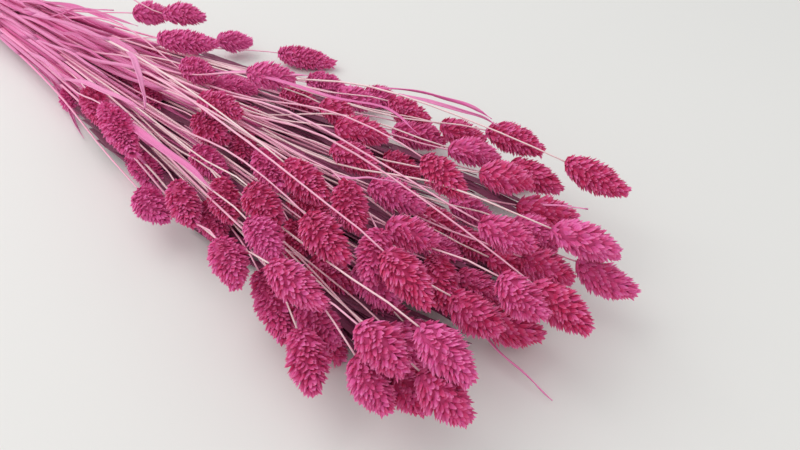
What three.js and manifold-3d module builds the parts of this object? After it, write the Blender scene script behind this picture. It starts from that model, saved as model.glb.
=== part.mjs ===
import * as THREE from "three";
import { mergeVertices } from "three/addons/utils/BufferGeometryUtils.js";
import Module from "manifold-3d";

// A bunch of dyed canary grass that lies on a table. The cut ends and the band are at -X, and the culms
// fan out towards +X, each to its own seed head. Millimetres, Z up. While it is laid out, the band stands
// over the origin, and at the end the whole bunch is moved over the middle of its box.

// Driving dimensions of the culms
const buttLength = 105; // cut ends behind the band
const buttUneven = 8; // how far the cuts differ
const buttSplay = { across: 1.4, up: 1.3 };
const culmColumns = 12;
const fullestColumn = 5; // pairs of culms in the middle columns
const columnPitch = 3.05;
const pairPitch = 4.8;
const twinPitch = 2.1; // the two culms of a pair grow into each other here
const buttRadius = 1.55;
const neckRadius = 0.85;
const stemStep = 92; // about this far from one bend to the next
const stemSides = 3;
const firstCorner = Math.PI / 6; // a culm has a flat top and an edge below
const stemStart = 0.42; // how stiffly a culm leaves the band and meets its head, in parts of its length
const stemEnd = 0.1;
// Past the band the culms sink, so that they run under the uppermost heads, and the lower ones sink less.
// A bare stretch before a head passes over the heap instead.
const stemUnderHeads = 14; // how far a culm at the height of the uppermost heads' axes sinks
const stemSinks = { from: 60, to: 200 };
const stemLowest = 4; // a culm at this height doesn't sink
const stemOverHeads = 2; // a bare stretch over the tips of the scales
const rankStep = 1000; // between the layers in the order of dealing, more than any head's distance

// Driving dimensions of the heads
const headRadius = 7.7; // over the tips of the scales
const headShortest = 25;
const headLongest = 48;
const headDroop = 4.5; // the tip hangs this far below the neck
const headOutline = { cutAt: 0.16, fullness: 0.8 }; // an egg's outline, cut across where the culm enters
const headFence = [[0.12, 0.85], [0.42, 1], [0.88, 0.62]]; // shares of its length and radius that fence it
const headSides = 8;
const headRings = 6;
const scaleRings = { first: 0.08, last: 0.88 };
const scaleLean = { tip: 0.055, valley: -0.03 }; // along the head, in parts of its length
const scaleValley = 0.74; // radius between the scales, in parts of the radius over them
const restingHeight = 0.9 * headRadius; // a head's axis over the table, with its lowest scales pressed flat
const tipHeight = 0.6 * restingHeight;
const hiddenFrom = 380; // hidden heads lie under the highest heads beyond this

// Driving dimensions of the leaves
const leafThickness = 0.7;
const leafRoot = { width: 1.3, radius: 0.9 };
const leafOutline = { first: 0.3, last: 0.92 }; // shares of a half round for the width from root to tip
const leafLeast = 1;
const sheaths = {
  count: 20, // leaves that lie along the culms just past the band
  joints: 5,
  root: [0.3, 0.9],
  reach: [70, 130],
  aside: 6,
  lift: 9,
  lifted: 0.6,
  width: [3.4, 5.4],
  twist: 0.8,
};

const band = { inner: [20.5, 14], thickness: 2, width: 9, flat: 0.5, segments: 14 };
const bundleHeight = band.inner[1] + band.thickness - band.flat;
const bundleAside = 16; // the band stands this far beyond the middle of the heap, away from the standpoint
const clearance = 0.4;
const aboveTable = 0.3;

// The heap of heads: the height of the uppermost heads' axes along the bunch and across it
const heap = {
  start: 17,
  middle: 48,
  end: 34,
  riseTo: 300,
  fallFrom: 420,
  fallTo: 640,
  nearHalf: 112,
  farHalf: 175,
  halfAt: 560,
  halfPower: 1.3,
  layer: 14,
  trustInWidth: 0.5, // a head's height follows the heap, and to this share how near its width shows it to be
};

// The standpoint from which the bunch is laid out. Its sight lines go through picture points, whose
// middle and distance from the eye are given in picture units.
const standpoint = {
  place: new THREE.Vector3(632, -172, 230),
  turn: THREE.MathUtils.degToRad(38),
  dip: THREE.MathUtils.degToRad(43),
  middle: [400, 225],
  distance: 600,
};

// How the culms, heads and leaves find room: each pass moves them apart by a part of what they lack
const parting = { passes: 240, share: 0.5, longest: 3, reach: 2 * headLongest };
const settling = { share: 0.7, longest: 3, leastWeight: 0.15, tooNearHeld: 0.002, stiffUntil: 0.8 };
const settleCulms = { passes: 280, stiffness: 0.25 };
const settleLeaves = { passes: 200, stiffness: 0.1 };
const heapPasses = 20;
const nearlyParallel = 1e-9;

// Heads as seen from the standpoint: where the culm enters, the tip, how wide the head looks, and how high
// it lies in the heap, from 0 for the bottom to 2 for the top. Two that stand clear have their height. Bare
// is the length of culm that passes over other heads.
const seenHeads = [
  { neck: [133, 13], tip: [165, 15], wide: 15, lies: 1, height: 46, bare: 150 },
  { neck: [163, 14], tip: [205, 18], wide: 19, lies: 2, height: 46, bare: 150 },
  { neck: [158, 38], tip: [219, 44], wide: 22, lies: 2 },
  { neck: [140, 53], tip: [172, 66], wide: 19, lies: 0 },
  { neck: [181, 64], tip: [213, 76], wide: 23, lies: 2, bare: 45 },
  { neck: [113, 62], tip: [137, 80], wide: 18, lies: 1 },
  { neck: [140, 71], tip: [157, 106], wide: 20, lies: 1 },
  { neck: [172, 84], tip: [206, 96], wide: 20, lies: 0 },
  { neck: [210, 85], tip: [257, 89], wide: 20, lies: 2, bare: 110 },
  { neck: [199, 99], tip: [241, 114], wide: 26, lies: 2, bare: 70 },
  { neck: [196, 118], tip: [227, 141], wide: 26, lies: 1 },
  { neck: [88, 92], tip: [104, 125], wide: 24, lies: 1 },
  { neck: [105, 108], tip: [135, 158], wide: 31, lies: 2 },
  { neck: [217, 40], tip: [252, 42], wide: 21, lies: 2 },
  { neck: [247, 73], tip: [295, 78], wide: 29, lies: 2 },
  { neck: [279, 53], tip: [335, 64], wide: 20, lies: 2 },
  { neck: [281, 93], tip: [318, 108], wide: 20, lies: 1 },
  { neck: [321, 103], tip: [336, 113], wide: 30, lies: 1 },
  { neck: [335, 127], tip: [388, 138], wide: 28, lies: 2 },
  { neck: [308, 79], tip: [347, 92], wide: 18, lies: 0 },
  { neck: [337, 93], tip: [378, 104], wide: 19, lies: 1 },
  { neck: [365, 92], tip: [398, 103], wide: 16, lies: 0 },
  { neck: [390, 101], tip: [428, 120], wide: 22, lies: 2 },
  { neck: [400, 122], tip: [433, 132], wide: 17, lies: 1 },
  { neck: [393, 130], tip: [445, 143], wide: 16, lies: 1 },
  { neck: [424, 158], tip: [465, 196], wide: 37, lies: 2, bare: 110 },
  { neck: [332, 148], tip: [378, 172], wide: 28, lies: 1 },
  { neck: [385, 155], tip: [418, 176], wide: 26, lies: 0 },
  { neck: [441, 124], tip: [485, 140], wide: 24, lies: 2 },
  { neck: [449, 148], tip: [499, 160], wide: 28, lies: 2, bare: 100 },
  { neck: [487, 130], tip: [543, 152], wide: 28, lies: 2 },
  { neck: [566, 162], tip: [627, 193], wide: 33, lies: 2, bare: 200 },
  { neck: [480, 172], tip: [531, 184], wide: 35, lies: 2 },
  { neck: [511, 163], tip: [561, 190], wide: 30, lies: 1 },
  { neck: [450, 200], tip: [477, 212], wide: 24, lies: 0 },
  { neck: [370, 185], tip: [423, 210], wide: 32, lies: 1 },
  { neck: [345, 183], tip: [360, 230], wide: 36, lies: 2 },
  { neck: [236, 112], tip: [264, 124], wide: 22, lies: 0 },
  { neck: [238, 130], tip: [245, 157], wide: 24, lies: 1 },
  { neck: [195, 150], tip: [225, 178], wide: 26, lies: 1 },
  { neck: [260, 152], tip: [285, 190], wide: 28, lies: 1 },
  { neck: [285, 163], tip: [325, 200], wide: 36, lies: 2, bare: 250 },
  { neck: [220, 181], tip: [231, 220], wide: 28, lies: 2 },
  { neck: [250, 187], tip: [277, 219], wide: 36, lies: 2 },
  { neck: [290, 197], tip: [325, 216], wide: 26, lies: 1 },
  { neck: [243, 146], tip: [262, 170], wide: 22, lies: 0 },
  { neck: [66, 92], tip: [80, 108], wide: 14, lies: 0 },
  { neck: [131, 152], tip: [168, 190], wide: 20, lies: 0 },
  { neck: [140, 191], tip: [160, 213], wide: 32, lies: 1 },
  { neck: [176, 183], tip: [193, 224], wide: 32, lies: 1 },
  { neck: [380, 231], tip: [369, 283], wide: 36, lies: 1.6 },
  { neck: [219, 241], tip: [238, 286], wide: 36, lies: 2 },
  { neck: [249, 221], tip: [278, 262], wide: 38, lies: 2 },
  { neck: [271, 264], tip: [323, 306], wide: 44, lies: 2 },
  { neck: [260, 273], tip: [286, 341], wide: 33, lies: 1 },
  { neck: [300, 306], tip: [332, 343], wide: 35, lies: 1 },
  { neck: [298, 330], tip: [313, 393], wide: 37, lies: 2, bare: 40 },
  { neck: [307, 216], tip: [346, 261], wide: 38, lies: 2, bare: 60 },
  { neck: [358, 265], tip: [393, 306], wide: 34, lies: 1 },
  { neck: [386, 224], tip: [439, 242], wide: 35, lies: 2, bare: 210 },
  { neck: [386, 253], tip: [429, 306], wide: 38, lies: 2, bare: 230 },
  { neck: [434, 256], tip: [448, 311], wide: 32, lies: 1 },
  { neck: [421, 328], tip: [471, 380], wide: 42, lies: 2, bare: 110 },
  { neck: [360, 326], tip: [398, 366], wide: 44, lies: 2 },
  { neck: [366, 300], tip: [399, 319], wide: 24, lies: 0 },
  { neck: [312, 320], tip: [338, 356], wide: 26, lies: 0 },
  { neck: [357, 358], tip: [387, 409], wide: 38, lies: 1, bare: 60 },
  { neck: [393, 362], tip: [418, 400], wide: 30, lies: 0 },
  { neck: [423, 374], tip: [460, 412], wide: 36, lies: 1 },
  { neck: [387, 328], tip: [415, 362], wide: 32, lies: 0 },
  { neck: [452, 296], tip: [497, 328], wide: 36, lies: 2 },
  { neck: [478, 316], tip: [543, 335], wide: 30, lies: 1 },
  { neck: [517, 205], tip: [577, 218], wide: 31, lies: 2 },
  { neck: [480, 222], tip: [535, 247], wide: 37, lies: 2, bare: 140 },
  { neck: [512, 222], tip: [556, 247], wide: 32, lies: 1 },
  { neck: [552, 229], tip: [619, 255], wide: 36, lies: 2, bare: 110 },
  { neck: [577, 261], tip: [637, 293], wide: 32, lies: 2 },
  { neck: [500, 276], tip: [545, 316], wide: 38, lies: 2 },
  { neck: [533, 284], tip: [590, 331], wide: 36, lies: 2, bare: 140 },
  { neck: [490, 258], tip: [530, 273], wide: 28, lies: 1 },
  { neck: [522, 257], tip: [565, 276], wide: 34, lies: 1 },
  { neck: [458, 274], tip: [500, 300], wide: 30, lies: 0 },
  { neck: [453, 231], tip: [490, 260], wide: 30, lies: 0 },
  { neck: [310, 262], tip: [357, 293], wide: 30, lies: 1 },
  { neck: [291, 223], tip: [298, 262], wide: 24, lies: 1 },
  { neck: [205, 206], tip: [221, 240], wide: 28, lies: 1 },
  { neck: [416, 214], tip: [446, 228], wide: 22, lies: 1 },
  { neck: [420, 240], tip: [447, 256], wide: 22, lies: 1 },
  { neck: [404, 322], tip: [424, 348], wide: 24, lies: 0 },
];

// Loose leaves as seen from the standpoint, from the root to the tip, with their width, how far the tip
// turns about its own length, and how far they lie over the heap. Those without that lie on the table.
const seenLeaves = [
  { path: [[362, 83], [398, 88], [440, 99], [478, 112], [492, 119]], width: 3.2, twist: 2.2, over: 12 },
  { path: [[392, 95], [425, 102], [455, 109], [482, 117], [499, 126]], width: 3, twist: -2, over: 9 },
  { path: [[268, 72], [300, 82], [340, 97], [390, 108], [419, 134]], width: 4, twist: 0.4, over: 10 },
  { path: [[205, 50], [232, 55], [262, 62], [290, 70], [309, 75]], width: 5, twist: 0.2, over: 9 },
  { path: [[110, 52], [125, 60], [134, 76], [141, 94], [145, 108]], width: 5, twist: 1.2, over: 12 },
  { path: [[60, 48], [85, 62], [110, 80], [130, 96], [144, 109]], width: 6, twist: 0.3, over: 8 },
  { path: [[100, 95], [135, 122], [165, 146], [192, 168], [213, 190]], width: 6, twist: 0.2, over: 10 },
  { path: [[330, 160], [350, 168], [368, 172], [382, 177], [396, 183]], width: 3, twist: 0.8, over: 9 },
  { path: [[455, 314], [476, 332], [503, 359], [527, 378], [552, 401]], width: 2.6, twist: 1.4 },
  { path: [[512, 184], [535, 190], [555, 197], [572, 203], [588, 210]], width: 2.2, twist: 0.5, over: 8 },
  { path: [[48, 78], [60, 92], [68, 106], [74, 122], [84, 138]], width: 4.5, twist: 1 },
];
const leafOnTable = 2.5;
const leafLowest = 3;

// A repeatable draw between two bounds
let drawState = 5;
const drawFactor = 16807;
const drawModulus = 2147483647;
function draw(low, high) {
  drawState = (drawState * drawFactor) % drawModulus;
  return low + ((high - low) * drawState) / drawModulus;
}

const { clamp, lerp, smoothstep } = THREE.MathUtils;
const between = (p, q, share) => p.clone().lerp(q, share);

function sightLine([column, row]) {
  const { turn, dip, middle, distance } = standpoint;
  const right = column - middle[0];
  const down = row - middle[1];
  const level = distance * Math.cos(dip) - down * Math.sin(dip);
  return new THREE.Vector3(
    right * Math.cos(turn) - level * Math.sin(turn),
    right * Math.sin(turn) + level * Math.cos(turn),
    -distance * Math.sin(dip) - down * Math.cos(dip),
  );
}

// The place at a height on the sight line through a picture point
function setDown(point, height) {
  const line = sightLine(point);
  const share = (height - standpoint.place.z) / line.z;
  return line.multiplyScalar(share).add(standpoint.place);
}

// The height of the uppermost heads' axes at a place
function heapTop(x, y) {
  const rise = smoothstep(x, 0, heap.riseTo) * (heap.middle - heap.start);
  const fall = smoothstep(x, heap.fallFrom, heap.fallTo) * (heap.middle - heap.end);
  const spread = (Math.max(x, 0) / heap.halfAt) ** heap.halfPower;
  const aside = y - bundleAside * (1 - smoothstep(x, 0, heap.riseTo));
  const half = lerp(band.inner[0], aside > 0 ? heap.farHalf : heap.nearHalf, spread);
  const across = Math.sqrt(Math.max(0, 1 - (aside / half) ** 2));
  return restingHeight + (heap.start + rise - fall - restingHeight) * across;
}

// The place on the sight line at a depth under the top of the heap, but no lower than a least height
function setOnHeap(point, depth, lowest) {
  let height = heap.middle;
  for (let pass = 0; pass < heapPasses; pass += 1) {
    const spot = setDown(point, height);
    height = (height + Math.max(lowest, heapTop(spot.x, spot.y) - depth)) / 2;
  }
  return setDown(point, height);
}

function headHeight({ neck, wide, lies }) {
  const piled = setOnHeap(neck, (2 - lies) * heap.layer, restingHeight).z;
  const near = (2 * headRadius) / wide;
  const judged = standpoint.place.z + sightLine(neck).z * near;
  return lerp(piled, clamp(judged, restingHeight, piled + heap.layer), heap.trustInWidth);
}

function layHead(seen) {
  const base = setDown(seen.neck, seen.height || headHeight(seen));
  const end = setDown(seen.tip, Math.max(base.z - headDroop, tipHeight));
  const length = clamp(end.distanceTo(base), headShortest, headLongest);
  end.sub(base).setLength(length).add(base);
  const sight = between(base, end, 0.5).sub(standpoint.place).normalize();
  return { base, end, sight, seen, lies: seen.lies, bare: seen.bare || 0 };
}

// The shares of two stretches, from p to q and from r to s, at which they come nearest
function nearest(p, q, r, s) {
  const first = q.clone().sub(p);
  const second = s.clone().sub(r);
  const gap = p.clone().sub(r);
  const a = first.dot(first);
  const b = first.dot(second);
  const e = second.dot(second);
  const [c, f] = [first.dot(gap), second.dot(gap)];
  const spread = a * e - b * b;
  const guess = spread > nearlyParallel * a * e ? clamp((b * f - c * e) / spread, 0, 1) : 0.5;
  const share = clamp((b * guess + f) / e, 0, 1);
  return [clamp((b * share - c) / a, 0, 1), share];
}

// Two stretches of a head's axis, each with the radii at its ends
function headStretches({ base, end }) {
  const knots = headFence.map(([share, girth]) => (
    { place: between(base, end, share), radius: girth * headRadius }
  ));
  return [knots.slice(0, 2), knots.slice(1)];
}

// How far two heads reach into each other, and the way from the other to the one where that is most
function overlap(one, other) {
  let worst = { lack: 0 };
  headStretches(one).forEach(([p, q]) => {
    headStretches(other).forEach(([r, s]) => {
      const [u, v] = nearest(p.place, q.place, r.place, s.place);
      const apart = between(p.place, q.place, u).sub(between(r.place, s.place, v));
      const lack = lerp(p.radius, q.radius, u) + lerp(r.radius, s.radius, v) + clearance - apart.length();
      if (lack > worst.lack) worst = { lack, apart };
    });
  });
  return worst;
}

// Heads part along their sight lines, the nearer one towards the eye.
function partHeads(heads) {
  for (let pass = 0; pass < parting.passes; pass += 1) {
    const moves = heads.map(() => 0);
    heads.forEach((one, i) => {
      heads.slice(i + 1).forEach((other, k) => {
        if (one.base.distanceTo(other.base) > parting.reach) return;
        const { lack, apart } = overlap(one, other);
        if (lack <= 0) return;
        const further = apart.dot(one.sight) < 0 ? -1 : 1;
        moves[i] += further * lack * parting.share;
        moves[i + 1 + k] -= further * lack * parting.share;
      });
    });
    heads.forEach(({ base, end, sight }, i) => {
      const step = sight.clone().multiplyScalar(clamp(moves[i], -parting.longest, parting.longest));
      const sink = Math.max(restingHeight - base.z, tipHeight - end.z) - step.z;
      if (sink > 0) step.addScaledVector(sight, sink / sight.z);
      base.add(step);
      end.add(step);
    });
  }
}

// The places of the culms in the band: pairs stacked in columns that fill its oval
function bandPlaces() {
  return Array.from({ length: culmColumns }, (_, column) => {
    const aside = column - (culmColumns - 1) / 2;
    const pairs = Math.round(fullestColumn * Math.sqrt(1 - (aside / (culmColumns / 2 + 0.25)) ** 2));
    return Array.from({ length: 2 * pairs }, (_, place) => {
      const middle = (Math.floor(place / 2) - (pairs - 1) / 2) * pairPitch;
      const twin = place % 2 === 0 ? -twinPitch / 2 : twinPitch / 2;
      return [aside * columnPitch, middle + twin];
    });
  });
}

// A culm's bends from its cut end through the band to the neck of its head
function culmPath([across, up], head) {
  const start = new THREE.Vector3(0, bundleAside + across, bundleHeight + up);
  const length = start.distanceTo(head.base);
  const aim = head.end.clone().sub(head.base).normalize();
  const leave = new THREE.Vector3(length * stemStart, 0, 0).add(start);
  const meet = aim.clone().multiplyScalar(-length * stemEnd).add(head.base);
  const curve = new THREE.CubicBezierCurve3(start, leave, meet, head.base);
  const steps = Math.max(3, Math.round(length / stemStep));
  const bends = curve.getPoints(steps);
  bends.slice(1, steps).forEach((bend, i) => {
    const top = heapTop(bend.x, bend.y);
    if (bend.distanceTo(head.base) < head.bare) {
      const lack = top + headRadius + stemOverHeads - bend.z;
      if (lack > 0) bend.z += lack * Math.sqrt(Math.sin((Math.PI * (i + 1)) / steps));
    } else {
      const sunk = Math.min(stemUnderHeads / top, 1) * smoothstep(bend.x, stemSinks.from, stemSinks.to);
      bend.z -= Math.max(bend.z - stemLowest, 0) * sunk;
    }
  });
  const cut = new THREE.Vector3(
    -buttLength + draw(0, buttUneven),
    bundleAside + across * buttSplay.across,
    bundleHeight + up * buttSplay.up,
  );
  return [cut, ...bends];
}

// A strand is a culm, a leaf or a head's axis. It keeps clear of the strands of other owners, and from its
// stretch "own" on also of its own owner's. Its held points stay, and it bends least where it can.
function strand(owner, own, points, radii, held) {
  const rests = points.map((point, i) => (
    i === 0 || i === points.length - 1 ? null : between(points[i - 1], points[i + 1], 0.5).sub(point)
  ));
  return { owner, own, points, radii, held, rests };
}

// Two stretches of strands that are too near push each other away, at the points that aren't held.
function pushApart(a, b, moves) {
  if (a.one === b.one || (a.fixed && b.fixed)) return;
  if (a.one.owner === b.one.owner && (a.k < a.one.own || b.k < b.one.own)) return;
  const limit = a.half + b.half + a.girth + b.girth + clearance;
  if (a.middle.distanceToSquared(b.middle) > limit * limit) return;
  const [p, q] = a.one.points.slice(a.k);
  const [r, s] = b.one.points.slice(b.k);
  const [u, v] = nearest(p, q, r, s);
  const apart = between(p, q, u).sub(between(r, s, v));
  const radiusAt = ({ one, k }, along) => lerp(one.radii[k], one.radii[k + 1], along);
  const lack = clearance + radiusAt(a, u) + radiusAt(b, v) - apart.length();
  if (lack <= 0) return;
  apart.normalize();
  const share = a.fixed || b.fixed ? 1 : 0.5;
  [[a, u, 1], [b, v, -1]].forEach(([{ one, k }, along, sign]) => {
    const weights = [one.held[k] ? 0 : 1 - along, one.held[k + 1] ? 0 : along];
    const total = weights[0] ** 2 + weights[1] ** 2;
    if (total < settling.tooNearHeld) return;
    const push = (sign * lack * share * settling.share) / Math.max(total, settling.leastWeight);
    weights.forEach((weight, n) => moves.get(one)[k + n].addScaledVector(apart, push * weight));
  });
}

function settle(strands, { passes, stiffness }) {
  const stretches = strands.flatMap((one) => one.points.slice(1).map((_, k) => ({ one, k })));
  for (let pass = 0; pass < passes; pass += 1) {
    const moves = new Map(strands.map((one) => [one, one.points.map(() => new THREE.Vector3())]));
    const stiff = stiffness * Math.max(0, 1 - pass / (passes * settling.stiffUntil));
    stretches.forEach((stretch) => {
      const { one, k } = stretch;
      stretch.middle = between(one.points[k], one.points[k + 1], 0.5);
      stretch.half = one.points[k].distanceTo(one.points[k + 1]) / 2;
      stretch.fixed = one.held[k] && one.held[k + 1];
      stretch.girth = Math.max(one.radii[k], one.radii[k + 1]);
    });
    stretches.forEach((a, i) => {
      for (let j = i + 1; j < stretches.length; j += 1) pushApart(a, stretches[j], moves);
    });
    strands.forEach(({ points, held, rests, radii }, n) => {
      const bends = points.map((point, i) => (
        held[i] || !rests[i] ? null : between(points[i - 1], points[i + 1], 0.5).sub(point).sub(rests[i])
      ));
      points.forEach((point, i) => {
        if (held[i]) return;
        point.add(moves.get(strands[n])[i].clampLength(0, settling.longest));
        if (bends[i]) point.addScaledVector(bends[i], stiff);
        point.z = Math.max(point.z, radii[i] + aboveTable);
      });
    });
    strands.forEach(({ root, points }) => {
      if (root) points[0].copy(between(root.culm.points[root.k], root.culm.points[root.k + 1], root.share));
    });
  }
}

// The heads, seen and hidden. The hidden ones lie on the table, each under one of the highest.
const heads = seenHeads.map(layHead);
const places = bandPlaces();
const highest = heads.filter(({ base }) => base.x > hiddenFrom);
highest.sort((one, other) => other.base.z - one.base.z);
highest.slice(0, places.flat().length - heads.length).forEach(({ seen }) => {
  heads.push(layHead({ ...seen, lies: 0, height: restingHeight, bare: 0 }));
});
partHeads(heads);

// The culms are dealt to the band's places in the order of their heads: from side to side in columns, and
// in each column from the bottom up. Of the uppermost heads the furthest come first, because their culms
// run under the nearer ones, and those with a long bare stretch come last.
const bearing = ({ base }) => (base.y - bundleAside) / base.x;
heads.sort((one, other) => bearing(one) - bearing(other));
const culms = [];
places.forEach((column) => {
  const rank = ({ lies, base, bare }) => (
    lies * rankStep + (1 - lies) * base.x + 0.5 * base.z + bare
  );
  const dealt = heads.splice(0, column.length).sort((one, other) => rank(one) - rank(other));
  column.forEach((place, i) => {
    const head = dealt[i];
    const path = culmPath(place, head);
    const radii = path.map(({ x }) => lerp(buttRadius, neckRadius, clamp(x / head.base.x, 0, 1)));
    const held = path.map((_, k) => k < 2 || k === path.length - 1);
    culms.push({ ...strand(Math.floor(culms.length / 2), 2, path, radii, held), head });
  });
});
const headStrands = culms.map(({ head, owner }) => strand(
  owner,
  Infinity,
  headFence.map(([share]) => between(head.base, head.end, share)),
  headFence.map(([, girth]) => girth * headRadius),
  headFence.map(() => true),
));
settle([...culms, ...headStrands], settleCulms);

// A leaf's root goes to the axis of the nearest culm.
function nearestCulm(place) {
  let best = { apart: Infinity };
  culms.forEach((culm) => {
    for (let k = 1; k < culm.points.length - 1; k += 1) {
      const stretch = new THREE.Line3(culm.points[k], culm.points[k + 1]);
      const share = stretch.closestPointToPointParameter(place, true);
      const apart = stretch.at(share, new THREE.Vector3()).distanceTo(place);
      if (apart < best.apart) best = { apart, culm, k, share };
    }
  });
  return best;
}

function leafStrand(root, points, width, twist) {
  const { first, last } = leafOutline;
  const widths = points.map((_, i) => (
    Math.max(leafLeast, width * Math.sin(Math.PI * lerp(first, last, i / (points.length - 1))))
  ));
  widths[0] = leafRoot.width;
  const radii = widths.map((wide) => Math.max(wide / 2, leafLeast));
  radii[0] = leafRoot.radius;
  const held = points.map((_, i) => i === 0);
  return { ...strand(root.culm.owner, 1, points, radii, held), root, widths, twist };
}

const leaves = seenLeaves.map(({ path, width, twist, over }) => {
  const lay = (point) => (over ? setOnHeap(point, -over, leafLowest) : setDown(point, leafOnTable));
  const points = path.map(lay);
  return leafStrand(nearestCulm(points[0]), points, width, twist);
});

// Sheath leaves rise from the uppermost culm of each column, first near the band and then one bend further.
function sheathLeaf(count) {
  const column = count % places.length;
  const culm = culms[places.slice(0, column + 1).flat().length - 1];
  const k = 1 + Math.floor(count / places.length);
  const root = { culm, k, share: draw(...sheaths.root) };
  const [back, ahead] = culm.points.slice(k);
  const along = ahead.clone().sub(back).normalize();
  const reach = draw(...sheaths.reach);
  const aside = draw(-sheaths.aside, sheaths.aside);
  const points = Array.from({ length: sheaths.joints }, (_, i) => {
    const share = i / (sheaths.joints - 1);
    const lift = sheaths.lift * smoothstep(share, 0, sheaths.lifted);
    return between(back, ahead, root.share).addScaledVector(along, reach * share)
      .add(new THREE.Vector3(0, aside * share, lift));
  });
  return leafStrand(root, points, draw(...sheaths.width), draw(-sheaths.twist, sheaths.twist));
}
for (let count = 0; count < sheaths.count; count += 1) leaves.push(sheathLeaf(count));
settle([...culms, ...headStrands, ...leaves], settleLeaves);

// Solids
const wasm = await Module();
wasm.setup();

function solidOf(geometry) {
  geometry.deleteAttribute("normal");
  geometry.deleteAttribute("uv");
  const merged = mergeVertices(geometry);
  return new wasm.Manifold(new wasm.Mesh({
    numProp: 3,
    vertProperties: merged.getAttribute("position").array,
    triVerts: new Uint32Array(merged.index.array),
  }));
}

// A closed skin over rings of points, which all begin at the same corner. Neighbouring rings may differ in
// their number of points, and a ring of one point is a tip.
function skin(rings) {
  const starts = rings.map((_, k) => rings.slice(0, k).reduce((sum, ring) => sum + ring.length, 0));
  const faces = [];
  for (let k = 1; k < rings.length; k += 1) {
    const [back, ahead] = [rings[k - 1].length, rings[k].length];
    const near = (i) => starts[k - 1] + (i % back);
    const far = (j) => starts[k] + (j % ahead);
    const farSteps = ahead > 1 ? ahead : 0;
    let [i, j] = [0, 0];
    while (i < back || j < farSteps) {
      if (j >= farSteps || (i < back && (i + 1) / back <= (j + 1) / farSteps)) {
        faces.push(near(i), near(i + 1), far(j));
        i += 1;
      } else {
        faces.push(near(i), far(j + 1), far(j));
        j += 1;
      }
    }
  }
  const [first, last, lastStart] = [rings[0].length, rings.at(-1).length, starts.at(-1)];
  for (let i = 1; i < first - 1; i += 1) faces.push(0, i + 1, i);
  for (let i = 1; i < last - 1; i += 1) faces.push(lastStart, lastStart + i, lastStart + i + 1);
  return solidOf(new THREE.BufferGeometry().setFromPoints(rings.flat()).setIndex(faces));
}

// Directions across a line: one level, the other as upright as it can be
function crossways(along) {
  const side = new THREE.Vector3(0, 0, 1).cross(along).normalize();
  return { side, rise: along.clone().cross(side) };
}

function placeIn({ side, rise }, centre, aside, up) {
  return centre.clone().addScaledVector(side, aside).addScaledVector(rise, up);
}

function headingAt(points, i, last) {
  const ahead = points[i + 1] || last;
  return ahead.clone().sub(points[Math.max(i - 1, 0)]).normalize();
}

function roundRing(frame, centre, count, radiusAt) {
  return Array.from({ length: count }, (_, i) => {
    const angle = firstCorner + (i * 2 * Math.PI) / count;
    const radius = radiusAt(i);
    return placeIn(frame, centre, radius * Math.cos(angle), radius * Math.sin(angle));
  });
}

function headGirth(share) {
  const { cutAt, fullness } = headOutline;
  return headRadius * Math.sin(Math.PI * lerp(cutAt, 1, share)) ** fullness;
}

// A culm and its head in one skin. On the head every second corner is the tip of a scale, staggered from
// ring to ring, which stands out and leans forward.
function culmSolid({ points, radii, head }) {
  const rings = points.map((point, i) => (
    roundRing(crossways(headingAt(points, i, head.end)), point, stemSides, () => radii[i])
  ));
  const axis = head.end.clone().sub(head.base);
  const frame = crossways(axis.clone().normalize());
  for (let k = 0; k < headRings; k += 1) {
    const share = lerp(scaleRings.first, scaleRings.last, k / (headRings - 1));
    const centre = between(head.base, head.end, share);
    const isTip = (i) => (i + k) % 2 === 0;
    const ring = roundRing(frame, centre, headSides, (i) => headGirth(share) * (isTip(i) ? 1 : scaleValley));
    const lean = (i) => (isTip(i) ? scaleLean.tip : scaleLean.valley);
    rings.push(ring.map((corner, i) => corner.addScaledVector(axis, lean(i))));
  }
  rings.push([head.end]);
  return skin(rings);
}

function leafSolid({ points, widths, twist }) {
  return skin(points.map((point, i) => {
    const { side, rise } = crossways(headingAt(points, i, point));
    const angle = (twist * i) / (points.length - 1);
    const frame = {
      side: side.clone().applyAxisAngle(rise.clone().cross(side), -angle),
      rise: rise.clone().applyAxisAngle(rise.clone().cross(side), -angle),
    };
    const [half, thick] = [widths[i] / 2, leafThickness / 2];
    const corners = [[half, thick], [-half, thick], [-half, -thick], [half, -thick]];
    return corners.map(([aside, up]) => placeIn(frame, point, aside, up));
  }));
}

// The band: an oval ring whose underside is flat
function bandSolid() {
  const [inAcross, inUp] = band.inner;
  const outline = new THREE.Shape();
  outline.absellipse(0, bundleHeight, inAcross + band.thickness, inUp + band.thickness, 0, 2 * Math.PI);
  const opening = new THREE.Path();
  opening.absellipse(0, bundleHeight, inAcross, inUp, 0, 2 * Math.PI, true);
  outline.holes.push(opening);
  const settings = { depth: band.width, bevelEnabled: false, curveSegments: band.segments };
  const geometry = new THREE.ExtrudeGeometry(outline, settings).translate(0, 0, -band.width / 2);
  const [across, up, along] = [[0, 1, 0], [0, 0, 1], [1, 0, 0]].map((way) => new THREE.Vector3(...way));
  geometry.applyMatrix4(new THREE.Matrix4().makeBasis(across, up, along));
  return solidOf(geometry.translate(0, bundleAside, 0));
}

// The table's top trims a flat spot under whatever presses on it.
const [tableSide, tableDepth] = [2000, 20];
const tableBox = new THREE.BoxGeometry(tableSide, tableSide, tableDepth);
const table = solidOf(tableBox.translate(0, 0, -tableDepth / 2));

function meshOf(made, name, material) {
  const shape = made.boundingBox().min[2] < 0 ? made.subtract(table) : made;
  const { vertProperties, triVerts } = shape.getMesh();
  const geometry = new THREE.BufferGeometry();
  geometry.setAttribute("position", new THREE.BufferAttribute(vertProperties, 3));
  geometry.setIndex(new THREE.BufferAttribute(triVerts, 1));
  const mesh = new THREE.Mesh(geometry, material);
  mesh.name = name;
  return mesh;
}

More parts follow.
